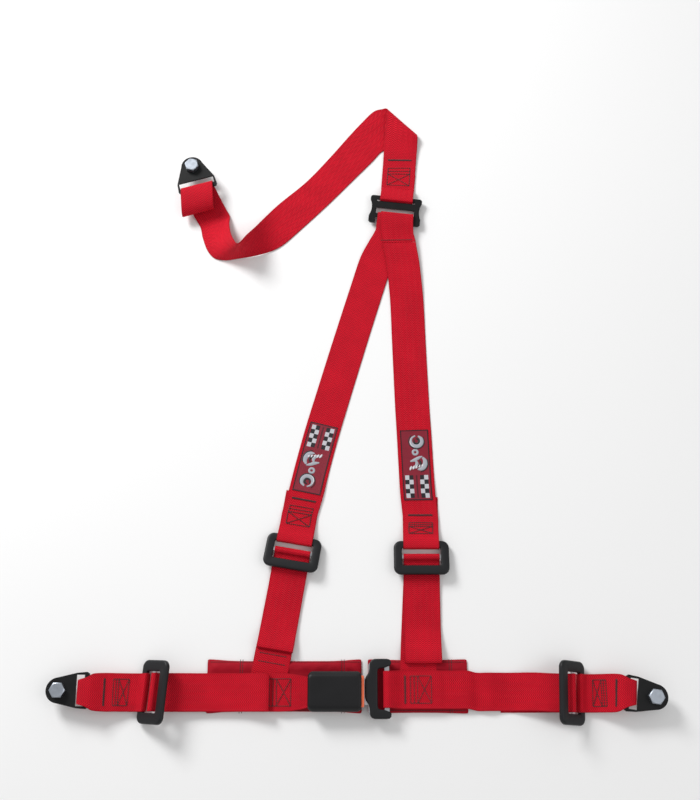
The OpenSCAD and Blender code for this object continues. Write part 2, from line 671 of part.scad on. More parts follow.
module buckle_base() {
    color(black) lap_frame() difference() {
        translate([0, 0, case_z[0]]) case_block(0, case_split - case_z[0]);
        translate([0, 0, case_z[0] + shell]) case_block(shell, 20);
        translate([case_x[0] - 5, case_y - mouth_w / 2, 0]) cube([24, mouth_w, 30]);
        translate([case_x[1] - 12, case_y - 20.5, case_z[0] + shell]) cube([20, 41, 20]);
        for (p = screw_at) translate([p[0], p[1], 0]) {
            cylinder(r = 1.3, h = 30, $fn = 32);
            cylinder(r = 2.2, h = case_z[0] + 1.4, $fn = 32);
        }
    }
}

screw_at = [for (x = [-37, -23], side = [-1, 1]) [x, case_y + side * 21.2]];
boss_r = 2.4;

module buckle_screws() {
    color(steel) lap_frame() for (p = screw_at) translate([p[0], p[1], case_z[0] + 0.1]) {
        cylinder(r = 1.25, h = 14, $fn = 32);
        cylinder(r = 2.1, h = 1.2, $fn = 32);
    }
}

// Steel channel that carries the webbing's bar, the latch and the tongue
module buckle_frame() {
    frame_z = [9, 11.5];
    color(steel) lap_frame() difference() {
        union() {
            translate([-58, case_y - 21.5, frame_z[0]]) cube([17.5, 43, frame_z[1] - frame_z[0]]);
            translate([-42, case_y - 18.5, frame_z[0]]) cube([44, 37, frame_z[1] - frame_z[0]]);
            for (side = [-1, 1]) translate([-40, case_y + side * 17.6 - 0.9, frame_z[0]]) cube([40, 1.8, 6.8]);
        }
        translate([-52, case_y - 19.6, 0]) cube([9, 39.2, 30]);
        translate([-26, case_y - 8, 0]) cube([14, 16, 30]);
    }
}

// Sprung plate whose wedge holds the tongue's window
module latch_plate() {
    color(steel) lap_frame() translate([0, case_y + 14, 0]) rotate([90, 0, 0]) linear_extrude(28) polygon([
        [latch_x[0], 15.2], [-30.6, 15.2], [-29.8, tongue_z[1] + 0.25],
        [latch_x[1], tongue_z[1] + 0.25 - 9.8 * latch_slope], [latch_x[1], 17.2], [latch_x[0], 17.2]]);
}

module coil(r, wire, turns, pitch) {
    for (i = [0 : turns - 1]) translate([0, 0, wire + i * pitch])
        rotate_extrude($fn = 48) translate([r, 0]) circle(wire, $fn = 16);
}

module latch_spring() {
    color(steel) lap_frame() for (side = [-1, 1])
        translate([-40, case_y + side * 8, 17.3]) coil(2.4, 0.35, 6, 0.9);
}

button_w = 39;
module press_button() {
    color(coral) lap_frame() {
        translate([-14, case_y - button_w / 2, 16]) cube([23, button_w, 5.6]);
        translate([8.4, case_y - button_w / 2 + 1, 16.6]) cube([1.1, button_w - 2, 4.4]);
    }
}

module ejector() {
    color(nylon) lap_frame() translate([-41, case_y - 10, tongue_z[0]])
        cube([6.6, 20, tongue_z[1] - tongue_z[0]]);
}

module ejector_spring() {
    color(steel) lap_frame() for (side = [-1, 1])
        translate([-41.3, case_y + side * 6, 13.2]) rotate([0, -90, 0]) coil(1, 0.2, 4, 0.28);
}

// ---- Tongue ----

module tongue_plate() {
    blade_w = 33;
    color(steel) lap_frame() difference() {
        translate([0, 0, tongue_z[0]]) union() {
            translate([-30, case_y - blade_w / 2, 0]) cube([50, blade_w, tongue_z[1] - tongue_z[0]]);
            translate([-34, case_y - blade_w / 2 + 4, 0]) cube([5, blade_w - 8, tongue_z[1] - tongue_z[0]]);
            translate([28.5, tongue_y, 0]) round_plate(27, 66, 4, tongue_z[1] - tongue_z[0]);
        }
        translate([-29.8, case_y - 15, 0]) cube([11, 30, 30]);
        translate([27, tongue_y - 26, 0]) cube([9, 52, 30]);
    }
}

// Bracket-shaped plastic grip moulded on the tongue
module tongue_grip() {
    grip_z = [9.2, 17.4];
    grip_l = 75;
    color(black) lap_frame() difference() {
        translate([27.8, tongue_y, grip_z[0]]) {
            round_plate(34.8, grip_l, 5, grip_z[1] - grip_z[0] - 1.2);
            translate([0, 0, grip_z[1] - grip_z[0] - 1.2]) round_plate(32.4, grip_l - 2.4, 4, 1.2);
        }
        translate([25.5, tongue_y - 27, 0]) cube([40, 54, 40]);
        translate([28.5, tongue_y, tongue_z[0]]) round_plate(27, 66, 4, tongue_z[1] - tongue_z[0]);
        translate([0, case_y - 16.5, tongue_z[0]]) cube([20, 33, tongue_z[1] - tongue_z[0]]);
    }
}

bracket_left();
bracket_right();
bracket_rear();
bolt_left();
bolt_right();
bolt_rear();
retainer_left();
retainer_right();
retainer_rear();
adjuster_core_lap_left();
adjuster_core_lap_right();
adjuster_core_shoulder_left();
adjuster_core_shoulder_right();
adjuster_cover_lap_left();
adjuster_cover_lap_right();
adjuster_cover_shoulder_left();
adjuster_cover_shoulder_right();
yoke_plate();
rear_strap();
shoulder_strap_left();
shoulder_strap_right();
yoke_loop_right();
shoulder_lower_left();
shoulder_lower_right();
shoulder_root_right();
shoulder_loop_left();
shoulder_loop_right();
shoulder_end_left();
shoulder_end_right();
lap_strap_left();
lap_strap_right();
lap_loop_left();
lap_loop_right();
lap_end_left();
lap_end_right();
stitching_rear();
stitching_shoulder_left();
stitching_shoulder_right();
stitching_lap_end_left();
stitching_lap_end_right();
stitching_buckle();
stitching_tongue();
label_left();
label_right();
lap_pad_left();
lap_pad_right();
buckle_cover();
buckle_base();
buckle_frame();
latch_plate();
latch_spring();
press_button();
ejector();
ejector_spring();
buckle_screws();
tongue_plate();
tongue_grip();
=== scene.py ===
"""Racing harness: webbing, pads, stitching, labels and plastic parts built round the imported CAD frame."""
import json
import math

import bpy
import bmesh
import numpy as np
from mathutils import Matrix, Vector


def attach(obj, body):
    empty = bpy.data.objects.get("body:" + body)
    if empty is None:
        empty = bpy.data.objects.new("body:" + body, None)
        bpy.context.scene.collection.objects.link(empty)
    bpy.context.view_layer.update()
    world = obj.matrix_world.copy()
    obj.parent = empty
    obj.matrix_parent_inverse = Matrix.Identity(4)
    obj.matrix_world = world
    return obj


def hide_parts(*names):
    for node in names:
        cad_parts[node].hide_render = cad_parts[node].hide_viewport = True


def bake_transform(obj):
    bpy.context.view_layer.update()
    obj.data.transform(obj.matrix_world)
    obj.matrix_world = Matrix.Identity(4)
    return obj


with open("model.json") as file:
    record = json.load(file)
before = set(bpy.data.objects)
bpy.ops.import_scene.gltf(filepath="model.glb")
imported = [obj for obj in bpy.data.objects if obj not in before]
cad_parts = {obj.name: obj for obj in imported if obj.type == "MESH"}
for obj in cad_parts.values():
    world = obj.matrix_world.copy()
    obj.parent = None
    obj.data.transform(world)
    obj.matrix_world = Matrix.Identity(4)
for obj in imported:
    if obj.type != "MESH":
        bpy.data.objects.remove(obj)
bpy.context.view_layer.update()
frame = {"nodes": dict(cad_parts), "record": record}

MM = 0.001
LAP_Y = -409.86      # mm: the lap strap's centre line in the part frame
WEB_W = 48.0
WEB_T = 1.3
GROUND = 0.65        # height of webbing that lies on the floor


def cosd(degrees):
    return math.cos(math.radians(degrees))


def sind(degrees):
    return math.sin(math.radians(degrees))


# ---- camera

camera = bpy.data.objects.new("camera", bpy.data.cameras.new("camera"))
camera.data.lens = 49.5
camera.data.sensor_width = 36
camera.location = (-0.0085, -0.4792, 1.4722)
camera.rotation_euler = (math.radians(17.52), 0, 0)
camera.data.clip_end = 20
bpy.context.collection.objects.link(camera)
bpy.context.scene.camera = camera


# ---- materials

TWILL = 2.6          # mm: the webbing's ribs, the panels they turn back at, and its warp yarns
PANEL = 4.0
YARN = 1.0
PAD_WEAVE = 0.9
LABEL_RIB = 0.8


class Graph:
    """A material with a Principled shader, and short calls that add nodes to it."""

    def __init__(self, name, **sockets):
        self.material = bpy.data.materials.new(name)
        self.material.use_nodes = True
        self.tree = self.material.node_tree
        self.shader = next(n for n in self.tree.nodes if n.type == "BSDF_PRINCIPLED")
        for key, value in sockets.items():
            self.shader.inputs[key.replace("_", " ")].default_value = value

    def put(self, socket, value):
        if isinstance(value, bpy.types.NodeSocket):
            self.tree.links.new(value, socket)
        else:
            socket.default_value = value

    def math(self, operation, *values, clamp=False):
        node = self.tree.nodes.new("ShaderNodeMath")
        node.operation = operation
        node.use_clamp = clamp
        for socket, value in zip(node.inputs, values):
            self.put(socket, value)
        return node.outputs[0]

    def between(self, value, low, high):
        """1 between low and high and 0 elsewhere."""
        above = self.math("GREATER_THAN", value, low)
        return self.math("MULTIPLY", above, self.math("LESS_THAN", value, high))

    def step(self, value, low, high):
        """0 below low and 1 above high, smoothly."""
        node = self.tree.nodes.new("ShaderNodeMapRange")
        node.interpolation_type = "SMOOTHSTEP"
        self.put(node.inputs["Value"], value)
        self.put(node.inputs["From Min"], low)
        self.put(node.inputs["From Max"], high)
        return node.outputs[0]

    def scale(self, value, low, high):
        """A 0 to 1 value stretched to run from low to high."""
        return self.math("MULTIPLY_ADD", value, high - low, low)

    def mix(self, factor, a, b):
        node = self.tree.nodes.new("ShaderNodeMix")
        node.data_type = "RGBA"
        self.put(node.inputs["Factor"], factor)
        colours = [s for s in node.inputs if s.type == "RGBA"]
        for socket, value in zip(colours, (a, b)):
            self.put(socket, value if isinstance(value, bpy.types.NodeSocket) else (*value, 1))
        return next(s for s in node.outputs if s.type == "RGBA")

    def noise(self, size_mm, detail=3, vector=None, stretch=(1, 1, 1)):
        node = self.tree.nodes.new("ShaderNodeTexNoise")
        node.inputs["Scale"].default_value = 1
        node.inputs["Detail"].default_value = detail
        mapping = self.tree.nodes.new("ShaderNodeMapping")
        mapping.inputs["Scale"].default_value = [s / (size_mm * MM) for s in stretch]
        self.put(mapping.inputs["Vector"], vector or self.object_place())
        self.put(node.inputs["Vector"], mapping.outputs[0])
        return node.outputs[0]

    def object_place(self):
        return self.tree.nodes.new("ShaderNodeTexCoord").outputs["Object"]

    def cloth_place(self):
        """Millimetres across and along the cloth, from the piece's own UV map."""
        pin = self.tree.nodes.new("ShaderNodeUVMap")
        pin.uv_map = "cloth"
        split = self.tree.nodes.new("ShaderNodeSeparateXYZ")
        self.put(split.inputs[0], pin.outputs[0])
        return split.outputs[0], split.outputs[1]

    def bump(self, height, distance_mm, strength=1.0, normal=None):
        node = self.tree.nodes.new("ShaderNodeBump")
        node.inputs["Distance"].default_value = distance_mm * MM
        node.inputs["Strength"].default_value = strength
        self.put(node.inputs["Height"], height)
        if normal is not None:
            self.put(node.inputs["Normal"], normal)
        self.put(self.shader.inputs["Normal"], node.outputs[0])
        return node.outputs[0]

    def colour(self, value):
        self.put(self.shader.inputs["Base Color"], value)

    def rough(self, value):
        self.put(self.shader.inputs["Roughness"], value)

    def wave(self, value, pitch, operation="SINE"):
        return self.math(operation, self.math("MULTIPLY", value, 2 * math.pi / pitch))

    def worn(self, fine, patches, low, high):
        """Roughness varied by a fine and a patchy noise together."""
        both = self.math("ADD", self.scale(fine, 0, 0.5), self.scale(patches, 0, 0.5))
        self.rough(self.scale(both, low, high))


def webbing_material(name, dark, light):
    """Herringbone twill: slanting ribs that turn back at each panel, crossed by the warp yarns; its colour runs
    from a shaded red to a lit red with the twill's relief, painted shade in the grooves and painted light on
    the ribs.
    """
    g = Graph(name, Sheen_Weight=0.08, Sheen_Roughness=0.4, Sheen_Tint=(1, 0.12, 0.16, 1),
              Specular_IOR_Level=0.14)
    across, along = g.cloth_place()
    slant = g.math("PINGPONG", across, PANEL)
    ribs = g.scale(g.wave(g.math("ADD", along, slant), TWILL), 0.5, 1.0)
    yarns = g.scale(g.wave(across, YARN, "COSINE"), 0.5, 1.0)
    relief = g.math("MULTIPLY", ribs, g.scale(yarns, 0.78, 1.0))
    cloudy = g.noise(34, 2)
    fuzz = g.noise(1.4, 2)
    # painted shade and light: the colour follows the twill's relief, darker in its grooves and lighter on its
    # ribs, plus a patchy and a fine random tone
    weave_shade_and_tone = g.math("ADD", g.scale(relief, 0.0, 0.95), g.scale(g.math("ADD", cloudy, fuzz), -0.2, 0.1))
    edge = g.math("MINIMUM", across, g.math("SUBTRACT", WEB_W, across))
    selvedge = g.step(edge, 0.3, 1.9)
    # the shaded red and the lit red, mixed by that painted shade and light
    shaded_to_lit_red = g.mix(g.math("MAXIMUM", weave_shade_and_tone, 0.0, clamp=True), dark, light)
    g.colour(g.mix(selvedge, [0.4 * (a + b) for a, b in zip(dark, light)], shaded_to_lit_red))
    g.rough(g.scale(relief, 0.8, 0.6))
    g.bump(relief, 0.5, 0.85)
    return g.material


def pad_material():
    g = Graph("pad_cloth", Sheen_Weight=0.06, Sheen_Roughness=0.5, Sheen_Tint=(1, 0.12, 0.16, 1),
              Specular_IOR_Level=0.14)
    across, along = g.cloth_place()
    weave = g.math("MULTIPLY", g.wave(across, PAD_WEAVE), g.wave(along, PAD_WEAVE))
    cloudy = g.noise(22, 3)
    # painted shade: the weave's crossings a little lighter and its hollows a little darker, over a patchy
    # random tone
    weave_shade_and_tone = g.math("ADD", g.scale(cloudy, 0.1, 0.9), g.scale(weave, 0, 0.12), clamp=True)
    g.colour(g.mix(weave_shade_and_tone, (0.26, 0.0015, 0.010), (0.44, 0.004, 0.018)))
    g.rough(0.62)
    fine = g.bump(weave, 0.12, 0.5)
    g.bump(g.noise(9, 3), 0.9, 0.35, fine)
    return g.material


def noisy_material(name, colour, spread, fine, patches, rough, relief, stretch=(1, 1, 1), **sockets):
    """A colour spread over patches, and a fine noise that shows in the roughness and the relief."""
    g = Graph(name, **sockets)
    small = g.noise(*fine, stretch=stretch)
    wide = g.noise(*patches)
    g.colour(g.mix(wide, *[[part * c for c in colour] for part in spread]))
    g.worn(small, wide, *rough)
    g.bump(small, *relief)
    return g.material


def plastic_material(name, colour, rough, grain=0.05):
    return noisy_material(name, colour, (0.75, 1.3), (0.7, 3), (28, 3), (rough - 0.09, rough + 0.11),
                          (grain, 0.7), Specular_IOR_Level=0.3)


def metal_material(name, colour, rough, grain):
    """Plated metal with fine drawing marks and slightly uneven brightness."""
    return noisy_material(name, colour, (0.72, 1.12), (grain, 4), (6, 3), (rough - 0.1, rough + 0.14),
                          (0.03, 0.5), stretch=(1, 1, 0.15), Metallic=1.0)


def thread_material(name, colour):
    return noisy_material(name, colour, (0.6, 1.5), (0.35, 2), (0.35, 2), (0.55, 0.55), (0.1, 0.6),
                          Sheen_Weight=0.2, Specular_IOR_Level=0.4)


def paint_material():
    g = Graph("black_paint", Specular_IOR_Level=0.2)
    orange_peel = g.noise(1.6, 2)
    patches = g.noise(17, 4)
    g.colour(g.mix(patches, (0.004, 0.0042, 0.0045), (0.009, 0.0095, 0.010)))
    g.rough(g.scale(patches, 0.36, 0.56))
    g.bump(orange_peel, 0.06, 0.6)
    return g.material


LABEL_W = 39.0
LABEL_L = 100.0
CHECK_X = 5.6        # a chequer's size across and along the label
CHECK_Y = 6.4
CHECK_IN = 4.6       # where the chequers start, from the label's middle and from its end
CHECK_UP = 3.4


def label_material():
    """Woven label: dark border, crimson ground, and two columns of chequers each side of a dark stripe."""
    g = Graph("woven_label", Sheen_Weight=0.1, Specular_IOR_Level=0.3)
    across, along = g.cloth_place()
    ribs = g.scale(g.wave(g.math("ADD", across, along), LABEL_RIB), 0.5, 1)
    off_middle = g.math("ABSOLUTE", g.math("SUBTRACT", across, LABEL_W / 2))
    column = g.math("FLOOR", g.math("DIVIDE", g.math("SUBTRACT", off_middle, CHECK_IN), CHECK_X))
    row = g.math("FLOOR", g.math("DIVIDE", g.math("SUBTRACT", along, CHECK_UP), CHECK_Y))
    odd = g.math("MODULO", g.math("ADD", g.math("ADD", column, row), 8), 2)
    in_columns = g.between(off_middle, CHECK_IN, CHECK_IN + 2 * CHECK_X)
    in_rows = g.between(along, CHECK_UP, CHECK_UP + 5 * CHECK_Y)
    checks = g.math("MULTIPLY", in_columns, in_rows)
    ground = g.mix(g.noise(12, 2), (0.2, 0.006, 0.02), (0.3, 0.01, 0.03))
    stripe = g.math("MULTIPLY", g.math("LESS_THAN", off_middle, 1.0), in_rows)
    ground = g.mix(stripe, ground, (0.09, 0.004, 0.012))
    squares = g.mix(odd, (0.012, 0.011, 0.015), (0.6, 0.6, 0.64))
    face = g.mix(checks, ground, squares)
    edge = g.math("MINIMUM", g.math("SUBTRACT", LABEL_W / 2, off_middle),
                  g.math("MINIMUM", along, g.math("SUBTRACT", LABEL_L, along)))
    inner = g.math("GREATER_THAN", edge, 1.5)
    face = g.mix(inner, (0.03, 0.004, 0.009), face)
    # painted shade: the colour up to 30% darker in the grooves between the ribs
    g.colour(g.mix(g.scale(ribs, 0, 0.3), face, (0.01, 0.004, 0.006)))
    g.rough(0.6)
    g.bump(ribs, 0.1, 0.6)
    return g.material


# a shaded red and a lit red for the webbing's painted shade and light
webbing = webbing_material("red_webbing", (0.17, 0.0005, 0.006), (0.84, 0.007, 0.027))
pad_cloth = pad_material()
dark_thread = thread_material("dark_thread", (0.018, 0.001, 0.003))
red_thread = thread_material("red_thread", (0.085, 0.002, 0.006))
woven_label = label_material()
silver_thread = thread_material("silver_thread", (0.34, 0.36, 0.40))
white_thread = thread_material("white_thread", (0.62, 0.62, 0.65))
black_thread = thread_material("black_thread", (0.012, 0.011, 0.014))
black_plastic = plastic_material("black_plastic", (0.008, 0.0085, 0.010), 0.42)
cover_plastic = plastic_material("cover_plastic", (0.0055, 0.0055, 0.0065), 0.46, 0.09)
coral_plastic = plastic_material("coral_plastic", (0.85, 0.17, 0.075), 0.42)
nylon = plastic_material("nylon", (0.72, 0.71, 0.66), 0.45)
black_paint = paint_material()
zinc = metal_material("zinc_plate", (0.44, 0.48, 0.54), 0.36, 0.5)
steel = metal_material("plain_steel", (0.56, 0.57, 0.6), 0.32, 0.4)

SLOT_MATERIAL = {"black_paint": black_paint, "zinc_plate": zinc, "plain_steel": steel, "nylon": nylon,
                 "black_plastic": black_plastic, "coral_plastic": coral_plastic}
BEVELLED = {"bracket": 0.5, "bolt": 0.35, "yoke": 1.0, "press": 0.5, "tongue": 0.25}

for part in frame["record"]["subparts"]:
    node = frame["nodes"].get(part["node"])
    material = SLOT_MATERIAL.get(part["material_slot"])
    if node is None or material is None:
        continue
    for place in node.material_slots:
        place.link = "OBJECT"
        place.material = material
    bevel = BEVELLED.get(part["node"].split("_")[0])
    if bevel:
        edge = node.modifiers.new("soft_edges", "BEVEL")
        edge.width = bevel * MM
        edge.segments = 3
        edge.limit_method = "ANGLE"
        edge.angle_limit = math.radians(40)
        edge.use_clamp_overlap = True


# ---- mesh helpers

def add_mesh(name, points_mm, faces, material, uvs=None, sharp=38, solid=True):
    """A mesh object from points in mm in the layout frame; a solid's faces are turned to point outwards."""
    mesh = bpy.data.meshes.new(name)
    mesh.from_pydata([point_m(p) for p in points_mm], [], [tuple(int(i) for i in f) for f in faces])
    mesh.validate()
    if uvs is not None:
        layer = mesh.uv_layers.new(name="cloth")
        for loop in mesh.loops:
            layer.data[loop.index].uv = uvs[loop.vertex_index]
    mesh.shade_smooth()
    mesh.set_sharp_from_angle(angle=math.radians(sharp))
    mesh.materials.append(material)
    obj = bpy.data.objects.new(name, mesh)
    bpy.context.collection.objects.link(obj)
    if solid:
        shape = bmesh.new()
        shape.from_mesh(mesh)
        bmesh.ops.recalc_face_normals(shape, faces=shape.faces)
        shape.to_mesh(mesh)
        shape.free()
    return obj


def point_m(p):
    return (p[0] * MM, (p[1] + LAP_Y) * MM, p[2] * MM)


def assign(obj, body, node=None):
    """Hides the CAD node a piece replaces, and hangs the piece on the body it rides on."""
    if node:
        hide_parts(node)
    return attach(obj, body)


def unit(v):
    return v / max(np.linalg.norm(v), 1e-9)


def curve(points, n):
    """Catmull-Rom curve through all the points, with n steps between neighbours."""
    p = np.array(points, float)
    out = []
    for i in range(len(p) - 1):
        a, b, c, d = p[max(i - 1, 0)], p[i], p[i + 1], p[min(i + 2, len(p) - 1)]
        for k in range(n):
            t = k / n
            out.append(b + (c - a) * t / 2 + (2 * a - 5 * b + 4 * c - d) * t * t / 2
                       + (3 * b - 3 * c + d - a) * t ** 3 / 2)
    out.append(p[-1])
    return np.array(out)


# Half section of the webbing: distance from the edge and half thickness, both in mm
SELVEDGE = [(0.0, 0.18), (0.12, 0.42), (0.4, 0.6), (0.9, 0.66), (1.6, 0.66), (2.2, 0.6), (3.2, 0.62),
            (7.0, 0.62), (12.0, 0.63), (18.0, 0.63)]


def tube(rings, n, close=False):
    """The quads between neighbouring rings of n points."""
    faces = []
    for i in range(rings if close else rings - 1):
        j = (i + 1) % rings
        faces += [(i * n + k, i * n + (k + 1) % n, j * n + (k + 1) % n, j * n + k) for k in range(n)]
    return faces


def sampled(at, s, values):
    return np.stack([np.interp(at, s, values[:, k]) for k in range(3)], -1)


class Strap:
    """A length of webbing as two edge lines, with places on it given along, across and above it."""

    def __init__(self, edge_a, edge_b, step):
        middle = (edge_a + edge_b) / 2
        runs = np.concatenate([[0], np.cumsum(np.linalg.norm(np.diff(middle, axis=0), axis=1))])
        count = max(4, int(runs[-1] / step))
        self.s = np.linspace(0, runs[-1], count)
        self.a, self.b = sampled(self.s, runs, edge_a), sampled(self.s, runs, edge_b)
        self.mid = (self.a + self.b) / 2
        ahead = np.gradient(self.mid, axis=0)
        self.ahead = np.array([unit(v) for v in ahead])
        self.up = np.array([unit(np.cross(self.ahead[i], unit(self.b[i] - self.a[i])))
                            for i in range(len(self.s))])
        self.width = np.linalg.norm(self.b - self.a, axis=1)

    def part(self, low, high):
        """The stretch between two distances along the strap, sharing the ring at the cut."""
        keep = (self.s >= low - 1e-6) & (self.s <= high + 1e-6)
        piece = object.__new__(Strap)
        piece.__dict__ = {key: values[keep] for key, values in self.__dict__.items()}
        return piece

    def snap(self, s):
        return float(self.s[np.argmin(abs(self.s - s))])

    def near(self, x, y, low=0, high=1e9):
        """Distance along the strap of the place nearest to (x, y) in plan."""
        span = (self.s >= low) & (self.s <= high)
        gap = np.hypot(self.mid[:, 0] - x, self.mid[:, 1] - y)
        gap[~span] = 1e9
        return float(self.s[np.argmin(gap)])

    def at(self, s, v, lift=0.0):
        """The point s mm along, v mm across and lift mm above the webbing's middle surface."""
        a, b = sampled(s, self.s, self.a), sampled(s, self.s, self.b)
        normal = unit(sampled(s, self.s, self.up))
        if normal[2] < 0:
            normal = -normal
        return (a + b) / 2 + unit(b - a) * v + normal * lift

    def mesh(self, name, ripple, seed):
        """A closed ribbon with rounded selvedges, and a UV map in mm across and along."""
        across = SELVEDGE + [(WEB_W / 2, 0.63)] + [(WEB_W - e, h) for e, h in reversed(SELVEDGE)]
        loop = across + [(e, -h) for e, h in reversed(across)]
        points, uvs = [], []
        for i, s in enumerate(self.s):
            sag = ripple * (math.sin(s / 37.0 + seed) * 0.6 + math.sin(s / 15.0 + 2.1 * seed) * 0.4)
            cup = ripple * 0.5 * math.sin(s / 52.0 + 1.7 * seed)
            for e, h in loop:
                f = e / WEB_W
                bow = sag + cup * (1 - (2 * f - 1) ** 2)
                p = self.a[i] + (self.b[i] - self.a[i]) * f + self.up[i] * h
                points.append((p[0], p[1], max(p[2] + bow, 0.02)))
                uvs.append((e, s))
        ring = len(loop)
        faces = tube(len(self.s), ring)
        last = (len(self.s) - 1) * ring
        n = len(across)
        for base, flip in ((0, False), (last, True)):
            for k in range(n - 1):
                quad = [base + k, base + k + 1, base + ring - 2 - k, base + ring - 1 - k]
                faces.append(quad if flip else quad[::-1])
        return add_mesh(name, points, faces, webbing, uvs)


def laid(stations, step=2.6):
    """The strap through a list of stations, each a middle point, a ruling's heading and a width."""
    line = curve(stations, 10)
    rule = np.stack([np.cos(np.radians(line[:, 3])), np.sin(np.radians(line[:, 3])), 0 * line[:, 3]], 1)
    half = rule * line[:, 4:5] / 2
    return Strap(line[:, :3] - half, line[:, :3] + half, step)


def declare(name, strap, nodes, body=None, bend=None, ripple=0.0, seed=0.0):
    """Makes a piece of webbing, its waves set by ripple and seed, and hides the CAD nodes it stands for; it
    rides on the body given, or, with bend given, is left in place unattached.

    bend: the two bodies, then the points in the layout frame where the webbing would bend; only whether it is
    given is used."""
    obj = strap.mesh(name, ripple, seed)
    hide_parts(*nodes)
    if bend:
        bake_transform(obj)
    else:
        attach(obj, body)


# ---- stations, as in the CAD

def rot(p, degrees):
    a = math.radians(degrees)
    return (p[0] * math.cos(a) - p[1] * math.sin(a), p[0] * math.sin(a) + p[1] * math.cos(a))


def run(at, heading, path, width=WEB_W):
    """Stations from [distance, height] or [distance, height, width] along a heading."""
    a = math.radians(heading)
    return [(at[0] + math.cos(a) * p[0], at[1] + math.sin(a) * p[0], p[1], heading + 90,
             p[2] if len(p) > 2 else width) for p in path]


def ring(centre, radius, angles, *width):
    return [(centre[0] + radius * cosd(a), centre[1] + radius * sind(a), *width) for a in angles]


# Adjusters: x, y, heading towards the clamping side, tilt, height and lean
LAP_LEFT = (-260.5, -2, 0, 38, 18.2, -4.5)
LAP_RIGHT = (275.5, -3, 180, 40, 18.8, -2.5)
SHOULDER_LEFT = (-85.5, 179, -99.5, 8, 8.3, 0)
SHOULDER_RIGHT = (87, 172, -90, 8, 8.3, 0)
BAR_LOOP = [(9, -4.4, 45), (4, -4.45, 40.5), (0, -4.4, 36), (-5, -4.1, 33.5), (-9.5, -3, 31), (-11.6, 0, 30),
            (-9.5, 3, 31), (-5, 4.1, 33.5), (0, 4.35, 36.5), (4, 4.35, 41), (9, 2.8, 46)]
YOKE_AT = (58.3, 686)
YOKE_TURN = -6.5
YOKE_Z = 6.8
YOKE_UPPER = 19
YOKE_LOWER = 10
END_Z = 4.95
LAP_Z = 6.6
TAIL_Z = 8.25
SEWN_LOOP = [(-23.5, 4.15), (-16, 4.05), (-14.3, 4), (-13.25, 3.4), (-12.95, 2), (-12.95, -2), (-13.25, -3.4),
             (-14.3, -4), (-16, -4.05), (-22.5, -4.05)]
CORE_TURNS = [-22, 30, 90, 150, 210, 260]


def tilted(place, p):
    x, z = rot(p, place[3])
    return (x, z + place[4])


def core_ring(place, angles):
    return ring(tilted(place, (-1, 0)), 3.75, angles)


def sewn(place):
    return [tilted(place, p) for p in SEWN_LOOP]


def leaning(place, stations):
    """Turns the rulings near an adjuster by its lean."""
    return [(x, y, z, r + place[5] * max(0, min(1, (50 - math.hypot(x - place[0], y - place[1])) / 24)), w)
            for x, y, z, r, w in stations]


def lap_end_stations(place, bar, axis, under, over, last):
    path = (under + [(bar + p[0], 18.5 + p[1], p[2]) for p in BAR_LOOP] + over + [(-34, 7.6), (-27, 6.9)]
            + sewn(place) + [(-27, 3.1), (-34, 6.1), last])
    bar_x = place[0] + cosd(place[2]) * bar
    return [(x, y, z, r + axis * max(0, min(1, (24 - abs(x - bar_x)) / 18)), w)
            for x, y, z, r, w in leaning(place, run(place, place[2], path))]


def lap_tail_left_stations():
    path = ([(128, TAIL_Z + 0.3), (140, TAIL_Z + 0.8), (145.6, TAIL_Z + 2.2), (147.8, TAIL_Z + 4.4),
             (145.2, TAIL_Z + 6.2), (139, TAIL_Z + 6.0), (128, TAIL_Z + 3.6), (114, TAIL_Z + 0.9), (90, TAIL_Z),
             (66, TAIL_Z), (50, 9.1), (22, 13), (8, 15)]
            + core_ring(LAP_LEFT, CORE_TURNS) + [(6, 10.8), (14, 5.4), (21, 2), (25.2, 1)])
    return leaning(LAP_LEFT, run(LAP_LEFT, 0, path))


def lap_left_stations():
    bar = -55 - LAP_LEFT[0]
    path = ([(25.2, 0.95), (34, GROUND), (43, GROUND), (53, 2.7), (61.5, END_Z), (70, END_Z), (98, END_Z),
             (112, LAP_Z - 0.6), (122, LAP_Z), (149, LAP_Z), (157, LAP_Z + 0.9), (165, LAP_Z + 1.7),
             (178, LAP_Z + 1.9, 46), (190, LAP_Z + 3, 42), (bar - 6, 12.8, 38)]
            + ring((bar, 10.25), 4.15, [110, 60, 0, -60, -110], 38)
            + [(190, LAP_Z - 0.1, 40), (178, LAP_Z, 44), (160, LAP_Z, 46)])
    return leaning(LAP_LEFT, run(LAP_LEFT, 0, path))


def lap_right_stations():
    bar = LAP_RIGHT[0] - 39
    path = ([(48, 9.4), (76, 2.9), (92, 3.6), (105, 5.2), (120, 3.9), (132, LAP_Z), (150, LAP_Z),
             (162, LAP_Z + 0.2), (172, LAP_Z + 1.7), (206, LAP_Z + 1.8), (218, LAP_Z + 3), (228, 14.8, 47),
             (bar - 3, 17.4, 46)]
            + ring((bar, 13.2), 4.3, [85, 40, 0, -40, -90], 46)
            + [(226, LAP_Z + 0.7, 46), (216, LAP_Z, 46), (176, LAP_Z, 46)])
    front = run(LAP_RIGHT, 180, path)
    front = [(x, y + (4.5 if x < 150 else 2), z, r, w) for x, y, z, r, w in front]
    back = run(LAP_RIGHT, 180, [(90, GROUND), (70, GROUND), (50, 1.4), (30, 6.2), (8, 11.8)]
               + list(reversed(core_ring(LAP_RIGHT, [30, 90, 150, 210, 260]))) + [(8, 18.8), (24, 15)])
    back[-1] = (back[-1][0], back[-1][1] + 0.6, *back[-1][2:])
    return leaning(LAP_RIGHT, back + front)


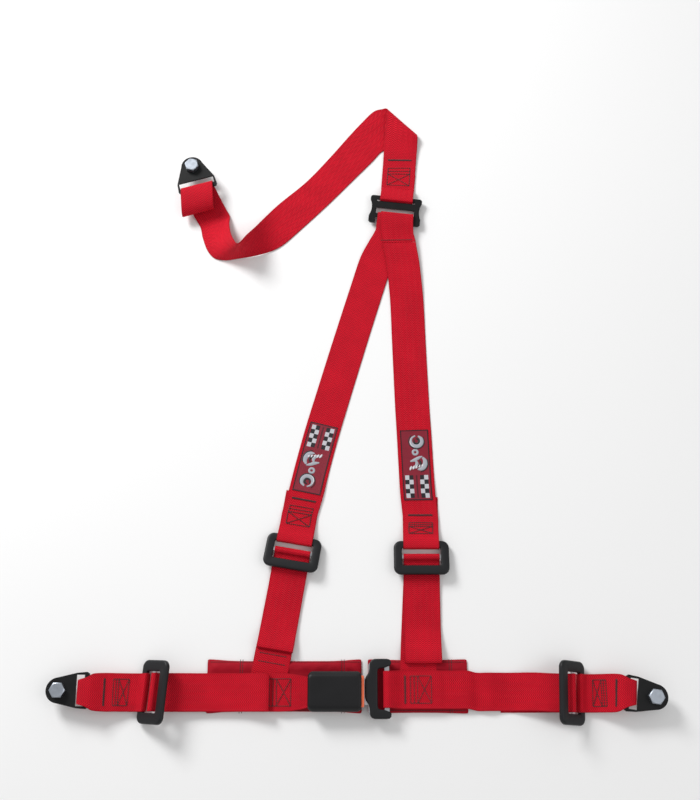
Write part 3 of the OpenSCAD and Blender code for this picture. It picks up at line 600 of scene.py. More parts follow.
def lower_stations(place, turn, climb, reach):
    a = math.radians(place[2])
    start = (place[0] + math.cos(a) * 25, place[1] + math.sin(a) * 25)
    path = [(25.2, GROUND), (50, GROUND), (climb - 29, GROUND), (climb - 17, 1.5), (climb - 7, 3.6),
            (climb, END_Z), (reach, END_Z)]
    return run(start, place[2] + turn, [(p[0] - 25, p[1]) for p in path])


def tail_stations(place, tail):
    path = (tail + [(60, 2.5), (42, 2.9), (28, 4.5), (16, 5.1), (7, 6.1)]
            + core_ring(place, [-15, 30, 90, 150, 210, 260]) + [(6, 3.4), (15, 1.2), (25.2, GROUND)])
    return run(place, place[2], path)


def upper_loop(place):
    return run(place, place[2], [(-84, GROUND), (-60, GROUND), (-40, 1.1), (-29, 2.6)]
               + list(reversed(sewn(place))) + [(-29, 6.4), (-41, 3.4), (-56, 2.2)])


def yoke_point(p):
    x, y = rot(p, YOKE_TURN)
    return (YOKE_AT[0] + x, YOKE_AT[1] + y)


def yoke_station(below, z, shift=0.0, turn=0.0):
    x, y = yoke_point((shift, -YOKE_LOWER - below))
    return (x, y, z, YOKE_TURN + turn, WEB_W)


def yoke_stations(*places):
    return [yoke_station(*p) for p in places]


def yoke_ring(radius, shift):
    return [yoke_station(-radius * cosd(a), YOKE_Z + radius * sind(a), shift)
            for a in (70, 35, 0, -35, -70)]


def shoulder_stations(place, ruling, path):
    """The sewn loop at the adjuster, then stations of full width up the shoulder."""
    return [(x, y, z, ruling, w) for x, y, z, _, w in upper_loop(place)] + [(*p, WEB_W) for p in path]


def shoulder_left_stations():
    path = [(-68.4, 262, 1.9, -11.5), (-60.5, 296, GROUND, -12.5), (-48, 345, GROUND, -13.5),
            (-33.7, 395, GROUND, -14.5), (-9.5, 478, GROUND, -16), (15.4, 561, GROUND, -16.5),
            (29.4, 606, 1.4, -16), (42, 632, 3.6, -12)]
    return (shoulder_stations(SHOULDER_LEFT, -9.5, path)
            + yoke_stations((25, 5.6, -2, -2), (15, 8, -1.5, -1), (7, 10.3, -1)) + yoke_ring(4.5, -1)
            + yoke_stations((7, 3.3, -1), (16, 2.3, -1), (43, 2.3, -3, -4)))


def yoke_loop_right_stations():
    return (yoke_stations((39.3, 6.1, 11.3, 8.5), (32, 6.7, 8.8, 6), (25, 8, 6.5, 3), (16, 10.2, 5, 1.5),
                          (8, 11.9, 4))
            + yoke_ring(6.05, 3.5) + yoke_stations((8, 1.4, 3.5), (16, GROUND, 3.5), (45, GROUND, 6, 3)))


def shoulder_right_stations():
    path = [(84, 262, 1.9, 1), (82.5, 296, GROUND, 1.5), (80.5, 345, GROUND, 2), (78.3, 395, GROUND, 2),
            (75.5, 480, GROUND, 2), (73.8, 538, 1.1, 2.5), (72, 566, 2.6, 3), (68.8, 602, 4, 3),
            (65.2, 625, 5.8, 2.5), (64, 635, 6.1, 2)]
    return shoulder_stations(SHOULDER_RIGHT, 0, path)


REAR_A = [(87, 722, 2.1), (90.5, 765, 2.1), (93, 795, 4.4), (93.5, 808, 7.2), (92.5, 815, 4),
          (89, 812, 1), (66, 801, GROUND), (41, 789, GROUND), (25, 771, GROUND), (-1.5, 742, GROUND),
          (-39, 701, GROUND), (-78, 661, GROUND), (-106, 634, 0.8), (-125, 623, 1), (-148, 616, 1.1),
          (-171, 612, 1.2), (-190, 609, 1.2), (-206, 612, 1.1), (-217, 624, 1), (-225, 645, 1), (-229, 662, 1)]
REAR_B = [(38, 726, 2.1), (41, 765, 2.1), (43.5, 805, 4.4), (47.5, 852, 7.2), (46, 861, 4),
          (42, 862, 1), (27, 857, GROUND), (6, 834, GROUND), (-12, 812, GROUND), (-38, 779, GROUND),
          (-73, 738, GROUND), (-112, 702, 1), (-132, 677, 8), (-145, 654, 22), (-157, 632, 38), (-167, 615, 46),
          (-173, 619, 44), (-179, 633, 35), (-183, 649, 23), (-185.5, 665, 11), (-186, 679, 3.5)]
REAR_ROLL = [(-38, 3.4, 8), (-24, 6.4, 5), (-10, 10.4, 2), (0, 13.6, 0), (3.6, 15.6, 0), (5, 18.5, -0.5),
             (3.7, 21.6, -1), (-2, 23.6, -2), (-12, 24.6, -4), (-24, 23.4, -6.5), (-33, 19, -8.5),
             (-36.5, 13.5, -9), (-33, 9.4, -7.5), (-26, 8.2, -5), (-18, 10, -3)]
REAR_AXIS = math.radians(106)
REAR_BAR = (-242.7 - math.cos(REAR_AXIS) * 36, 752 - math.sin(REAR_AXIS) * 36)


def rear_edge(side):
    start = [(46, GROUND), (30, GROUND), (16, GROUND), (8, 1.9)]
    start += [(-4.5 * cosd(a), YOKE_Z + 4.5 * sind(a))
              for a in (-70, -35, 0, 35, 70)] + [(8, 9.2), (18, 5.4)]
    loop = [(*yoke_point((side * 25 * 0.97, YOKE_UPPER + p[0])), p[1]) for p in start]
    free = REAR_A if side > 0 else REAR_B
    c, s = math.cos(REAR_AXIS), math.sin(REAR_AXIS)
    roll = [(REAR_BAR[0] + c * p[0] + s * (p[2] - side * WEB_W / 2),
             REAR_BAR[1] + s * p[0] - c * (p[2] - side * WEB_W / 2), p[1]) for p in REAR_ROLL]
    return curve(loop + free + roll, 10)


# ---- stitching

STITCH = 2.9         # mm: a stitch's length, and the gap between two
GAP = 0.35


def stitches(name, lines, body, node=None, thread=1.35, material=None):
    """Rows of separate stitches, each a little spindle of thread, along lines of points in mm."""
    points, faces = [], []
    for line in lines:
        for a, b in line:
            a, b = np.array(a, float), np.array(b, float)
            along = unit(b - a)
            side = unit(np.cross(along, (0, 0, 1)))
            up = np.cross(side, along)
            length = np.linalg.norm(b - a)
            base = len(points)
            for t, r in ((0.02, 0.25), (0.18, 0.85), (0.5, 1.0), (0.82, 0.85), (0.98, 0.25)):
                for k in range(6):
                    angle = k * math.pi / 3
                    wide, high = r * thread / 2, r * thread * 0.32
                    offset = side * math.cos(angle) * wide + up * math.sin(angle) * high
                    points.append(tuple(a + along * t * length + offset))
            faces += [[base + v for v in f] for f in tube(5, 6)]
            faces.append([base + k for k in range(5, -1, -1)])
            faces.append([base + 24 + k for k in range(6)])
    return assign(add_mesh(name, points, faces, material or dark_thread, sharp=80), body, node)


def row(strap, start, end, lift):
    """Stitches from (along, across) to (along, across) on a strap."""
    start, end = np.array(start, float), np.array(end, float)
    length = np.linalg.norm(end - start)
    count = max(1, round(length / STITCH))
    out = []
    for i in range(count):
        low, high = (i + GAP / STITCH / 2) / count, (i + 1 - GAP / STITCH / 2) / count
        p, q = start + (end - start) * low, start + (end - start) * high
        out.append((strap.at(*p, lift), strap.at(*q, lift)))
    return out


def zigzag(strap, s, half, lift):
    """A dense zigzag bar tack across the strap."""
    reach, pitch = 1.5, 1.15
    count = int(2 * half / pitch)
    out = []
    for i in range(count):
        v = -half + 2 * half * i / count
        side = reach if i % 2 else -reach
        out.append((strap.at(s - side, v, lift), strap.at(s + side, v + pitch, lift)))
    return out


def box_and_cross(strap, near, far, half, lift):
    """A sewn box from near to far, its cross at the near end and extra lines at the far end."""
    length = far - near
    middle = near + 0.66 * length
    lines = [row(strap, (s, -half), (s, half), lift) for s in (near, middle, near + 0.82 * length, far)]
    lines += [row(strap, (near, v), (far, v), lift) for v in (-half, half)]
    lines += [row(strap, (near, v), (middle, -v), lift + 0.15) for v in (-half, half)]
    return lines


# ---- webbing pieces

TOP = WEB_T / 2 + 0.2      # a stitch's middle above the webbing's middle surface

# Left lap strap: from under the adjuster to the buckle, and the tail that comes back over it
strap = laid(lap_left_stations())
sewn_at = strap.near(-99, -2, 120, 178)
trim = stitches("stitch_buckle", box_and_cross(strap, sewn_at + 14, sewn_at - 14, 17, TOP), "buckle_side",
                "stitching_buckle", material=red_thread)
declare("lap_webbing_left", strap, ["lap_strap_left"], ripple=0.12, seed=1.0,
        bend=("buckle_side", "lap_adjuster_left", (-140, 0, 0), (-228, 0, 0)))
strap = laid(lap_tail_left_stations(), 1.8)
declare("lap_tail_left", strap, ["lap_loop_left"], ripple=0.2, seed=2.2, body="lap_adjuster_left")

# Right lap strap and its tail, in one piece
strap = laid(lap_right_stations(), 1.9)
top_start = strap.near(150, 1.5, 150)
sewn_at = strap.near(84, 1.5, top_start, top_start + 90)
lines = box_and_cross(strap, sewn_at - 13, sewn_at + 14, 17, TOP)
lines.append(zigzag(strap, strap.near(62.5, 1.5, top_start, sewn_at + 40), 17.5, TOP + 0.1))
trim = stitches("stitch_tongue", lines, "tongue_side", "stitching_tongue", material=red_thread)
declare("lap_webbing_right", strap, ["lap_strap_right", "lap_loop_right"], ripple=0.1, seed=0.4,
        bend=("tongue_side", "lap_adjuster_right", (150, 0, 0), (246, 0, 0)))

def sewn_end(strap, spots, low, high, half, name, body):
    """A box and a bar tack at the places given as near, far and tack, looked for between two distances."""
    near, far, tack = [strap.near(*p, low, high) for p in spots]
    lines = box_and_cross(strap, near, far, half, TOP)
    lines.append(zigzag(strap, tack, half + 0.5, TOP))
    return stitches("stitch_" + name, lines, body, "stitching_" + name)


# Short straps between the lap adjusters and their brackets
LAP_ENDS = (
    ("left", LAP_LEFT,
     (-85.1, 0, [(-50, 9.9), (-64, 13.2, 48)], [(-64, 15.6, 48), (-50, 11.4)], (-47, 9.2)),
     (-287, -313), -323.5),
    ("right", LAP_RIGHT,
     (-70.45, -8, [(-43, 9.3), (-54, 12.4, 48)], [(-55, 17.4, 48), (-46, 12.8)], (-40, 8.2)),
     (299, 321), 332.5))
for side, place, shape, box, tack in LAP_ENDS:
    strap = laid(lap_end_stations(place, *shape), 1.6)
    low = strap.near(place[0] + (shape[0] if side == "left" else -shape[0]), place[1]) + 8
    trim = sewn_end(strap, [(x, place[1]) for x in (*box, tack)], low, strap.s[-1] * 0.62, 16.5,
                    "lap_end_" + side, "lap_adjuster_" + side)
    declare("lap_end_webbing_" + side, strap, ["lap_end_" + side], ripple=0.05, seed=3.0,
            body="lap_adjuster_" + side)

# Shoulder straps below the adjusters: cut where the joints' bends meet
strap = laid(lower_stations(SHOULDER_LEFT, -0.5, 137, 202))
cut = strap.snap(strap.near(-109, 42))
piece = strap.part(cut, 1e9)
declare("shoulder_base_left", piece, ["shoulder_end_left"],
        bend=("buckle_side", "lower_left", (-112, 21, 5.65), (-112, 31, 5.65)))
lines = [row(strap, (strap.near(-108, y), -18), (strap.near(-108, y), 18), TOP) for y in (44.4, 34.2)]
trim = stitches("stitch_fold_left", lines, "lower_left")
piece = strap.part(0, cut)
declare("shoulder_under_left", piece, ["shoulder_lower_left"], ripple=0.08,
        bend=("lower_left", "upper_left", (-105, 60, 0), (-95, 146, 0)))

strap = laid(lower_stations(SHOULDER_RIGHT, -3.2, 130, 193))
cuts = [strap.snap(strap.near(80, y)) for y in (51, 35)]
piece = strap.part(cuts[1], 1e9)
declare("shoulder_base_right", piece, ["shoulder_end_right"],
        bend=("tongue_side", "root_right", (80, 20, 5.65), (80, 32, 5.65)))
piece = strap.part(*cuts)
declare("shoulder_root_webbing", piece, ["shoulder_root_right"],
        bend=("root_right", "lower_right", (80, 37, 4.95), (80, 48.5, 4.95)))
piece = strap.part(0, cuts[0])
declare("shoulder_under_right", piece, ["shoulder_lower_right"], ripple=0.08,
        bend=("lower_right", "upper_right", (82, 60, 0), (86, 139, 0)))

# Tails of the shoulder straps, on top of them
tail = [(112, 2.9), (122, 4.4), (127.4, 6.1), (128.8, 8.2), (126, 9.6), (116, 7.4), (102, 3.6), (80, 2.4)]
strap = laid(tail_stations(SHOULDER_LEFT, tail), 1.8)
declare("shoulder_tail_left", strap, ["shoulder_loop_left"], ripple=0.16, seed=0.9, body="upper_left")
tail = [(121, 5.9), (133, TAIL_Z - 1.3), (137.2, TAIL_Z + 0.6), (133, TAIL_Z + 2.6), (121, 9.4), (109, 5.6),
        (93, 2.6), (78, 2.4)]
strap = laid(tail_stations(SHOULDER_RIGHT, tail), 1.8)
declare("shoulder_tail_right", strap, ["shoulder_loop_right"], ripple=0.16, seed=2.9,
        body="upper_right")


# ---- labels

def label(side, strap, centre, end):
    """A woven label laid on the strap, its chequers at the end given, +1 towards the yoke."""
    points, uvs, faces = [], [], []
    rows, columns = 34, 14
    for upper in (True, False):
        for i in range(rows + 1):
            for k in range(columns + 1):
                u, v = LABEL_W * k / columns, LABEL_L * i / rows
                lift = 0.05
                if upper:
                    lift = 0.7 if min(u, LABEL_W - u, v, LABEL_L - v) < 1.5 else 0.45
                s = centre + end * (LABEL_L / 2 - v)
                points.append(tuple(strap.at(s, u - LABEL_W / 2, WEB_T / 2 + lift)))
                uvs.append((u, v))
    top = len(points) // 2
    width = columns + 1
    for base in (0, top):
        for i in range(rows):
            for k in range(columns):
                a = base + i * width + k
                faces.append((a, a + 1, a + width + 1, a + width))
    rim = ([k for k in range(columns)] + [columns + width * i for i in range(rows)]
           + [width * rows + k for k in range(columns, 0, -1)] + [width * i for i in range(rows, 0, -1)])
    for i, a in enumerate(rim):
        b = rim[(i + 1) % len(rim)]
        faces.append((a, b, b + top, a + top))
    obj = assign(add_mesh("label_cloth_" + side, points, faces, woven_label, uvs),
                 "upper_" + side, "label_" + side)
    trims = motif(side, strap, centre, end)


def embroidery(name, strap, shapes, body, material, height):
    """Padded satin-stitch shapes, each a ribbon along a line of (along, across, half width)."""
    points, faces = [], []
    for shape in shapes:
        line = curve(shape, 6)
        base = len(points)
        for i, (s, v, half) in enumerate(line):
            step = line[min(i + 1, len(line) - 1)] - line[max(i - 1, 0)]
            along = unit(step[:2])
            for k in range(7):
                f = -1 + k / 3
                rise = WEB_T / 2 + 0.5 + height * math.sqrt(max(0, 1 - f * f))
                points.append(tuple(strap.at(s - along[1] * f * half, v + along[0] * f * half, rise)))
        for i in range(len(line) - 1):
            for k in range(6):
                a = base + 7 * i + k
                faces.append((a, a + 1, a + 8, a + 7))
            faces.append((base + 7 * i, base + 7 * i + 7, base + 7 * i + 13, base + 7 * i + 6))
        for first in (base, base + 7 * (len(line) - 1)):
            faces.append([first + k for k in range(7)])
    return assign(add_mesh(name, points, faces, material, sharp=60), body)


def motif(side, strap, centre, end):
    """A generic racing motif: two wheels joined by a swoosh, with a few white dashes."""
    def place(v, u):
        return centre + end * (LABEL_L / 2 - v), (u - LABEL_W / 2) * (1 if side == "right" else -1)

    def arc(v, u, radius, start, stop, widths):
        n = len(widths)
        return [(*place(v + radius * cosd(start + (stop - start) * i / (n - 1)),
                        u + radius * sind(start + (stop - start) * i / (n - 1))), w)
                for i, w in enumerate(widths)]

    body = "upper_" + side
    silver = [arc(84, 22, 7.6, 20, 350, [1.0, 2.3, 2.9, 2.9, 2.5, 2.0, 1.4, 1.0]),
              arc(68, 19.5, 3.3, 0, 359, [1.5] * 8),
              arc(53, 23, 9.5, 190, 40, [0.8, 2.4, 3.3, 3.4, 2.6, 1.3]),
              arc(52, 15, 6.0, 210, 40, [0.6, 1.6, 2.2, 2.0, 1.0]),
              [(*place(62, 29), 0.7), (*place(60, 24), 2.0), (*place(57, 18), 2.2), (*place(55, 12), 0.9)]]
    black = [arc(84, 22, 3.9, 0, 300, [1.0, 1.5, 1.5, 1.2, 0.7]),
             arc(53, 21, 5.2, 180, 40, [0.6, 1.4, 1.4, 0.7]),
             arc(84, 22, 10.9, 60, 320, [0.4, 0.7, 0.7, 0.7, 0.7, 0.5, 0.4]),
             arc(53, 23, 13.2, 170, 70, [0.4, 0.8, 0.8, 0.6])]
    white = [[(*place(42.5 + 1.2 * i, 11 + 4.1 * i), 0.5), (*place(45.2 + 0.9 * i, 12 + 4.1 * i), 1.5),
              (*place(48.4 + 0.6 * i, 13.4 + 3.9 * i), 0.5)] for i in range(5)]
    white += [arc(83, 21.5, 8.3, 190, 300, [0.3, 0.8, 0.8, 0.3])]
    kinds = (("silver", silver, silver_thread, 0.55), ("black", black, black_thread, 0.7),
             ("white", white, white_thread, 0.8))
    return [embroidery("motif_%s_%s" % (kind, side), strap, shapes, body, material, height)
            for kind, shapes, material, height in kinds]


# Long shoulder straps up to the yoke: side, stations, where the upper layer starts, sewing, label, seed
SHOULDERS = (
    ("left", shoulder_left_stations(), (-76, 262), [(-80.49, 217), (-76.07, 243), (-73.5, 252.7)],
     (-57.4, 310.3), 1, 1.4),
    ("right", shoulder_right_stations(), (84, 262), [(85, 198), (85, 220), (85, 231)], (82.4, 302), -1, 2.7))
for side, stations, start, spots, centre, end, seed in SHOULDERS:
    strap = laid(stations)
    upper = strap.near(*start, 130)
    trim = sewn_end(strap, spots, upper - 60, upper + 10, 16, "shoulder_" + side, "upper_" + side)
    declare("shoulder_webbing_" + side, strap, ["shoulder_strap_" + side], ripple=0.16, seed=seed,
            body="upper_" + side)
    label(side, strap, strap.near(*centre, upper), end)

strap = laid(yoke_loop_right_stations(), 1.6)
declare("yoke_webbing_right", strap, ["yoke_loop_right"], body="upper_left")
seam = strap.near(*yoke_point((9.5, -YOKE_LOWER - 36)), 0, 20)
stitches("stitch_yoke", [row(strap, (seam, -27), (seam, 19), TOP)], "upper_left")

# Rear strap
strap = Strap(rear_edge(1), rear_edge(-1), 2.2)
upper = strap.near(64, 765, 80, 260)
tack = strap.near(66, 773, 80, upper + 30)
box = [strap.near(62, y, 80, upper + 20) for y in (731, 760)]
lines = box_and_cross(strap, box[0], box[1], 16.5, TOP) + [zigzag(strap, tack, 17.5, TOP)]
trim = stitches("stitch_rear", lines, "rear", "stitching_rear")
declare("rear_webbing", strap, ["rear_strap"], ripple=0.1, seed=0.2, body="rear")


# ---- moulded pieces

def rounded(x, y, r, centre=(0.0, 0.0)):
    """Outline of a rounded rectangle, with the same number of points whatever its size."""
    n, m = 8, 6          # steps round a corner, points along a side
    corners = [[(sx * (x / 2 - r) + r * cosd(a), sy * (y / 2 - r) + r * sind(a))
                for a in (90 * quarter + 90 * k / n for k in range(n + 1))]
               for quarter, (sx, sy) in enumerate(((1, 1), (-1, 1), (-1, -1), (1, -1)))]
    out = []
    for quarter, corner in enumerate(corners):
        (sx, sy), (ex, ey) = corner[-1], corners[(quarter + 1) % 4][0]
        out += corner
        out += [(sx + (ex - sx) * k / (m + 1), sy + (ey - sy) * k / (m + 1)) for k in range(1, m + 1)]
    return [(px + centre[0], py + centre[1]) for px, py in out]


def loft(name, rings, material, matrix=None, close=False, sharp=38):
    """Skin through rings of as many points each; the ends are capped unless the loft closes on itself."""
    n = len(rings[0])
    points = [p for r in rings for p in r]
    if matrix is not None:
        points = [tuple(matrix @ Vector(p)) for p in points]
    faces = tube(len(rings), n, close)
    if not close:
        faces.append(list(range(n - 1, -1, -1)))
        faces.append([(len(rings) - 1) * n + k for k in range(n)])
    return add_mesh(name, points, faces, material, sharp=sharp)


def arc_steps(count):
    return [math.radians(90 * i / count) for i in range(count + 1)]


def adjuster_frame(where, place, length, body):
    """Soft-edged plastic frame round the adjuster's window, slightly crowned."""
    half = 3.0
    big, small = 2.4, 1.1
    low, high = -14, 11
    rings = []

    def inner(grow, z):
        outline = rounded(high - low + 2 * grow, 52 + 2 * grow, 2.2 + grow, ((low + high) / 2, 0.0))
        rings.append([(x, y, z) for x, y in outline])

    def outer(shrink, z):
        outline = rounded(46 - 2 * shrink, length - 2 * shrink, 9.5 - shrink)
        rings.append([(x, y, z) for x, y in outline])

    for a in arc_steps(3):
        inner(small * (1 - math.cos(a)), half - small * (1 - math.sin(a)))
    outer(big + 1.4, half + 0.12)
    for a in reversed(arc_steps(5)):
        outer(big * (1 - math.cos(a)), half - big * (1 - math.sin(a)))
    for a in arc_steps(4):
        outer(1.5 * (1 - math.cos(a)), -half + 1.5 * (1 - math.sin(a)))
    for a in reversed(arc_steps(3)):
        inner(small * (1 - math.cos(a)), -half + small * (1 - math.sin(a)))
    matrix = (Matrix.Translation((place[0], place[1], place[4]))
              @ Matrix.Rotation(math.radians(place[2] + place[5]), 4, "Z")
              @ Matrix.Rotation(math.radians(-place[3]), 4, "Y"))
    obj = loft("adjuster_frame_" + where, rings, black_plastic, matrix, close=True, sharp=60)
    assign(obj, body, "adjuster_cover_" + where)


adjuster_frame("lap_left", LAP_LEFT, 80, "lap_adjuster_left")
adjuster_frame("lap_right", LAP_RIGHT, 80, "lap_adjuster_right")
adjuster_frame("shoulder_left", SHOULDER_LEFT, 74, "upper_left")
adjuster_frame("shoulder_right", SHOULDER_RIGHT, 74, "upper_right")


def offset_outline(outline, d):
    """The outline moved inwards by d."""
    n = len(outline)
    out = []
    for i in range(n):
        a, p, b = (np.array(outline[(i + k) % n], float) for k in (-1, 0, 1))
        t1, t2 = unit(p - a), unit(b - p)
        n1, n2 = np.array((-t1[1], t1[0])), np.array((-t2[1], t2[0]))
        mid = unit(n1 + n2)
        out.append(tuple(p + mid * d / max(0.5, float(mid @ n1))))
    return out


def slab(name, outline, low, high, bevel, material):
    """An outline, anticlockwise, thickened between two heights with rounded edges."""
    arc = [(bevel * (1 - math.cos(a)), bevel * (1 - math.sin(a))) for a in arc_steps(4)]
    layers = [(d, low + e) for d, e in reversed(arc)] + [(d, high - e) for d, e in arc]
    rings = [[(x, y, z) for x, y in offset_outline(outline, d)] for d, z in layers]
    return loft(name, rings, material, sharp=50)


def cut_boxes(obj, boxes):
    """Takes rectangular hollows, each (left, right, half width, low, high) in mm, out of a piece."""
    for left, right, half, low, high in boxes:
        sides = (CASE_Y - half, CASE_Y + half)
        corners = [(x, y, z) for x in (left, right) for y in sides for z in (low, high)]
        faces = [(0, 1, 3, 2), (4, 6, 7, 5), (0, 4, 5, 1), (2, 3, 7, 6), (0, 2, 6, 4), (1, 5, 7, 3)]
        tool = add_mesh("cutter", corners, faces, cover_plastic)
        cut = obj.modifiers.new("cut", "BOOLEAN")
        cut.operation = "DIFFERENCE"
        cut.solver = "EXACT"
        cut.object = tool
        apply_modifiers(obj)
        bpy.data.objects.remove(tool, do_unlink=True)
    obj.data.set_sharp_from_angle(angle=math.radians(35))


def apply_modifiers(obj):
    graph = bpy.context.evaluated_depsgraph_get()
    graph.update()
    mesh = bpy.data.meshes.new_from_object(obj.evaluated_get(graph))
    obj.modifiers.clear()
    old, obj.data = obj.data, mesh
    bpy.data.meshes.remove(old)


LEFT, RIGHT = -62.9, 6.8       # mm: the buckle's case
CASE_Y = -1.2
CASE_W = 50.0
SPLIT = 11.0         # height where the buckle's cover meets its base


def buckle_shell(name, rings, hollows):
    """Half of the buckle's case, less its hollows, from rings of (height, shrink at the ends and at the sides,
    corner radius)."""
    centre = ((LEFT + RIGHT) / 2, CASE_Y)
    outlines = [[(x, y, z) for x, y in rounded(RIGHT - LEFT - 2 * ends, CASE_W - 2 * sides, r, centre)]
                for z, ends, sides, r in rings]
    shell = loft(name + "_shell", outlines, cover_plastic, sharp=50)
    cut_boxes(shell, hollows)
    assign(shell, "buckle_side", name)


buckle_shell("buckle_cover",
             [(SPLIT, 0.4, 0.4, 6.6), (SPLIT + 0.4, 0, 0, 7), (19.4, 0, 0, 7), (20.6, 0.1, 0.35, 6.9),
              (23.2, 0.8, 3.4, 5.2), (24.2, 1.4, 4.5, 4.6), (24.8, 2.4, 5.8, 4.0), (25.0, 4.0, 7.6, 3.2),
              (25.0, 9.0, 12.5, 2.6)],
             [(LEFT + 2, RIGHT - 2, 22.6, SPLIT - 1, 20.8), (LEFT + 6, RIGHT - 2.2, 18, 20, 22.8),
              (LEFT - 5, LEFT + 15, 22, SPLIT - 1, 17), (RIGHT - 12, RIGHT + 8, 20.5, SPLIT - 1, 22.5)])
buckle_shell("buckle_base",
             [(4.4, 1.6, 1.6, 5.6), (4.9, 0.7, 0.7, 6.4), (6.0, 0, 0, 7), (SPLIT - 0.5, 0, 0, 7),
              (SPLIT - 0.1, 0.4, 0.4, 6.6)],
             [(LEFT + 2, RIGHT - 2, 22.6, 6.4, SPLIT + 1), (LEFT - 5, LEFT + 19, 22, 3, SPLIT + 1),
              (RIGHT - 12, RIGHT + 8, 20.5, 6.4, SPLIT + 1)])

# Tongue grip: bracket-shaped, wider towards the buckle in the middle
GRIP_Y = 2.3
half_grip = [(39.5, 27.6), (43.0, 28.6), (44.6, 31.2), (44.4, 34.4), (42.2, 36.8), (38.6, 37.5), (30, 37.5),
             (23.5, 37.4), (19.6, 36.2), (17.4, 33.6), (16.8, 30), (16.6, 25), (15.6, 20.5), (13.2, 16.8),
             (11.4, 13.6), (10.6, 10.5), (10.4, 6), (10.4, 0)]
inner_grip = [(27.1, 0), (27.1, 12), (27.1, 21), (27.5, 23.6), (28.8, 25.2), (31, 25.7), (35, 25.9)]
upper_half = inner_grip[1:] + half_grip[:-1]
outline = ([(x, GRIP_Y + y) for x, y in inner_grip[:1] + upper_half + half_grip[-1:]]
           + [(x, GRIP_Y - y) for x, y in reversed(upper_half)])
grip = slab("tongue_grip_shell", outline, 9.2, 17.4, 2.0, black_plastic)
assign(grip, "tongue_side", "tongue_grip")


# ---- lap pads

PAD_LOW, PAD_HIGH = -30.0, 42.0
SEAM_REACH = 3.2     # mm: how far a seam draws the pad in, and the most it swells
MOST_SWELL = 2.6
HEM = 5.5


def pad(side, x0, x1, seams, body):
    """A thin pad: two skins swollen by a short cloth simulation, then drawn in along its seams and hem."""
    columns, rows = round((x1 - x0) / 3), round((PAD_HIGH - PAD_LOW) / 3)
    inset, corner = 0.8, 5
    points, faces, uvs = [], [], []
    index = {}

    def vertex(i, k, layer):
        rim = i in (0, columns) or k in (0, rows)
        key = (i, k, 0 if rim else layer)
        if key not in index:
            x = x0 + inset + (x1 - x0 - 2 * inset) * i / columns
            y = PAD_LOW + inset + (PAD_HIGH - PAD_LOW - 2 * inset) * k / rows
            cx = min(max(x, x0 + corner), x1 - corner)
            cy = min(max(y, PAD_LOW + corner), PAD_HIGH - corner)
            d = math.hypot(x - cx, y - cy)
            if d > corner - inset and x != cx and y != cy:
                x, y = cx + (x - cx) * (corner - inset) / d, cy + (y - cy) * (corner - inset) / d
            index[key] = len(points)
            points.append((x, y, 1.8 if rim else (2.9 if layer else 0.7)))
            uvs.append((x - x0, y - PAD_LOW))
        return index[key]

    for layer in (0, 1):
        for i in range(columns):
            for k in range(rows):
                face = [vertex(i + a, k + b, layer) for a, b in ((0, 0), (1, 0), (1, 1), (0, 1))]
                faces.append(face if layer else face[::-1])
    obj = add_mesh("lap_pad_cushion_" + side, points, faces, pad_cloth, uvs, solid=False)
    start = np.array([v.co for v in obj.data.vertices], float)
    cloth = obj.modifiers.new("cloth", "CLOTH")
    for key, value in (("quality", 5), ("mass", 0.2), ("use_pressure", True),
                       ("uniform_pressure_force", 4), ("tension_stiffness", 25), ("bending_stiffness", 0.6)):
        setattr(cloth.settings, key, value)
    cloth.settings.effector_weights.gravity = 0
    cloth.collision_settings.use_collision = False
    cloth.point_cache.frame_start = 1
    cloth.point_cache.frame_end = 20
    for moment in range(1, 21):
        bpy.context.scene.frame_set(moment)
    apply_modifiers(obj)
    co = np.array([v.co for v in obj.data.vertices], float)
    moved = co - start
    size = np.linalg.norm(moved, axis=1, keepdims=True)
    co = start + moved * np.minimum(1, MOST_SWELL * MM / np.maximum(size, 1e-9))
    x, y, z = co[:, 0] / MM, co[:, 1] / MM - LAP_Y, co[:, 2] / MM
    edge = np.minimum.reduce([x - x0, x1 - x, y - PAD_LOW, PAD_HIGH - y])
    gap = np.minimum.reduce([abs(x - s) for s in seams] + [abs(edge - HEM) * 1.3])
    pinch = 0.45 + 0.55 * np.clip(gap / SEAM_REACH, 0, 1) ** 0.7
    z = 1.7 + (z - 1.7) * pinch
    free = np.clip((abs(y + 1) - 25) / 6, 0, 1)      # 0 under the lap strap and 1 beside it
    puckers = 0.35 * free * np.sin(x / 3.1 + np.sin(y / 7.0) * 2) * np.clip(gap / 6, 0, 1)
    z = np.clip(np.where(z > 1.8, z + puckers, z), 0.06, 3.95 + 2.3 * free)
    co = np.stack(point_m((np.clip(x, x0, x1), np.clip(y, PAD_LOW, PAD_HIGH), z)), 1)
    obj.data.vertices.foreach_set("co", co.astype(np.float32).ravel())
    obj.data.update()
    smooth = obj.modifiers.new("smooth", "SUBSURF")
    smooth.levels = smooth.render_levels = 1
    apply_modifiers(obj)
    obj.data.shade_smooth()
    assign(obj, body, "lap_pad_" + side)
    return obj


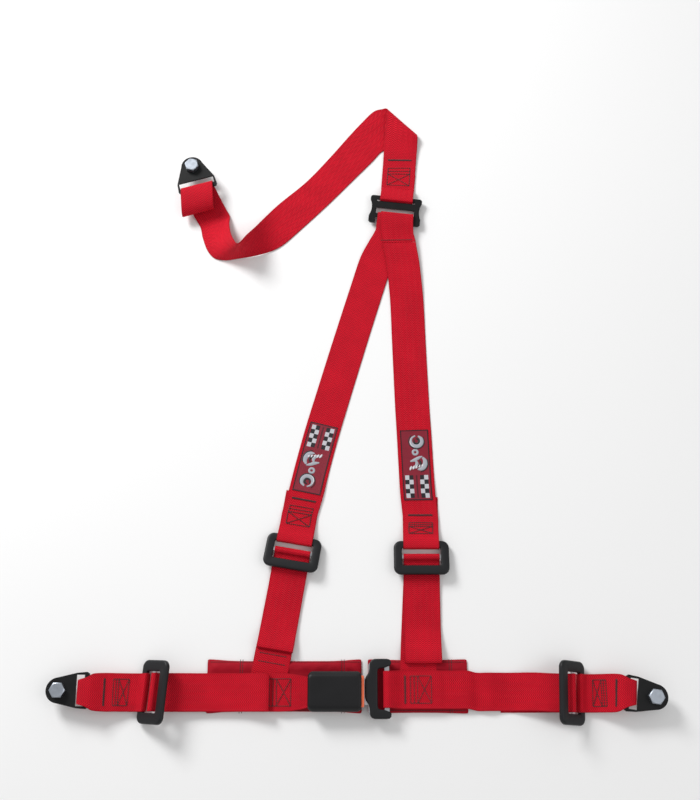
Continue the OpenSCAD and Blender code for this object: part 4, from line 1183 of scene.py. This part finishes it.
def pad_seams(side, obj, seams, hem, body):
    """Rows of stitches down the pad's seams, in pairs, and along its long edges."""
    graph = bpy.context.evaluated_depsgraph_get()
    tree_owner = obj.evaluated_get(graph)
    back = tree_owner.matrix_world.inverted()

    def on_top(x, y):
        start = back @ Vector(point_m((x, y, 40)))
        hit, place, _, _ = tree_owner.ray_cast(start, back.to_3x3() @ Vector((0, 0, -1)))
        return (x, y, (place.z / MM if hit else 3.0) + 0.22)

    def straight(a, b):
        count = max(1, round(math.dist(a, b) / 3.1))
        spots = [(a[0] + (b[0] - a[0]) * t / count, a[1] + (b[1] - a[1]) * t / count)
                 for t in range(count + 1)]
        return [(on_top(*spots[i]), on_top(*spots[i + 1])) for i in range(count)]

    lines = [straight((s + d, PAD_LOW + 2), (s + d, PAD_HIGH - 2)) for s in seams for d in (-1.6, 1.6)]
    lines += [straight((hem[0], y), (hem[1], y)) for y in (PAD_LOW + HEM, PAD_HIGH - HEM)]
    stitches("stitch_pad_" + side, lines, body, thread=0.8, material=dark_thread)


PADS = (("left", -197, 9.5, (-149.5, -17.6), (-190, 4), "buckle_side"),
        ("right", 12.5, 146, (122.0,), (18, 140), "tongue_side"))
for side, x0, x1, seams, hem, body in PADS:
    pad_seams(side, pad(side, x0, x1, seams, body), seams, hem, body)


# ---- stage and light

def stage_plane():
    size = 6.0
    mesh = bpy.data.meshes.new("floor")
    corners = [(x * size, y * size, 0) for x, y in ((-1, -1), (1, -1), (1, 1), (-1, 1))]
    mesh.from_pydata(corners, [], [(0, 1, 2, 3)])
    floor = bpy.data.objects.new("floor", mesh)
    g = Graph("pale_floor", Roughness=0.9, Specular_IOR_Level=0.1)
    g.colour(g.mix(g.noise(900, 2), (0.86, 0.86, 0.86), (0.9, 0.9, 0.9)))
    mesh.materials.append(g.material)
    bpy.context.collection.objects.link(floor)


def area_light(name, place, size, power):
    """A square lamp aimed at the frame's origin."""
    data = bpy.data.lights.new(name, "AREA")
    data.shape = "RECTANGLE"
    data.size = data.size_y = size
    data.energy = power
    lamp = bpy.data.objects.new(name, data)
    lamp.location = place
    lamp.rotation_euler = (-Vector(place)).to_track_quat("-Z", "Y").to_euler()
    bpy.context.collection.objects.link(lamp)


stage_plane()
area_light("key", (-1.5, 1.5, 1.5), 0.9, 60)
area_light("fill", (1.6, -0.6, 1.8), 1.5, 8)
world = bpy.data.worlds.new("studio")
world.use_nodes = True
sky = world.node_tree.nodes["Background"]
sky.inputs["Color"].default_value = (1, 1, 1, 1)
sky.inputs["Strength"].default_value = 0.52
bpy.context.scene.world = world
bpy.context.scene.view_settings.view_transform = "Standard"
bpy.context.scene.frame_set(1)
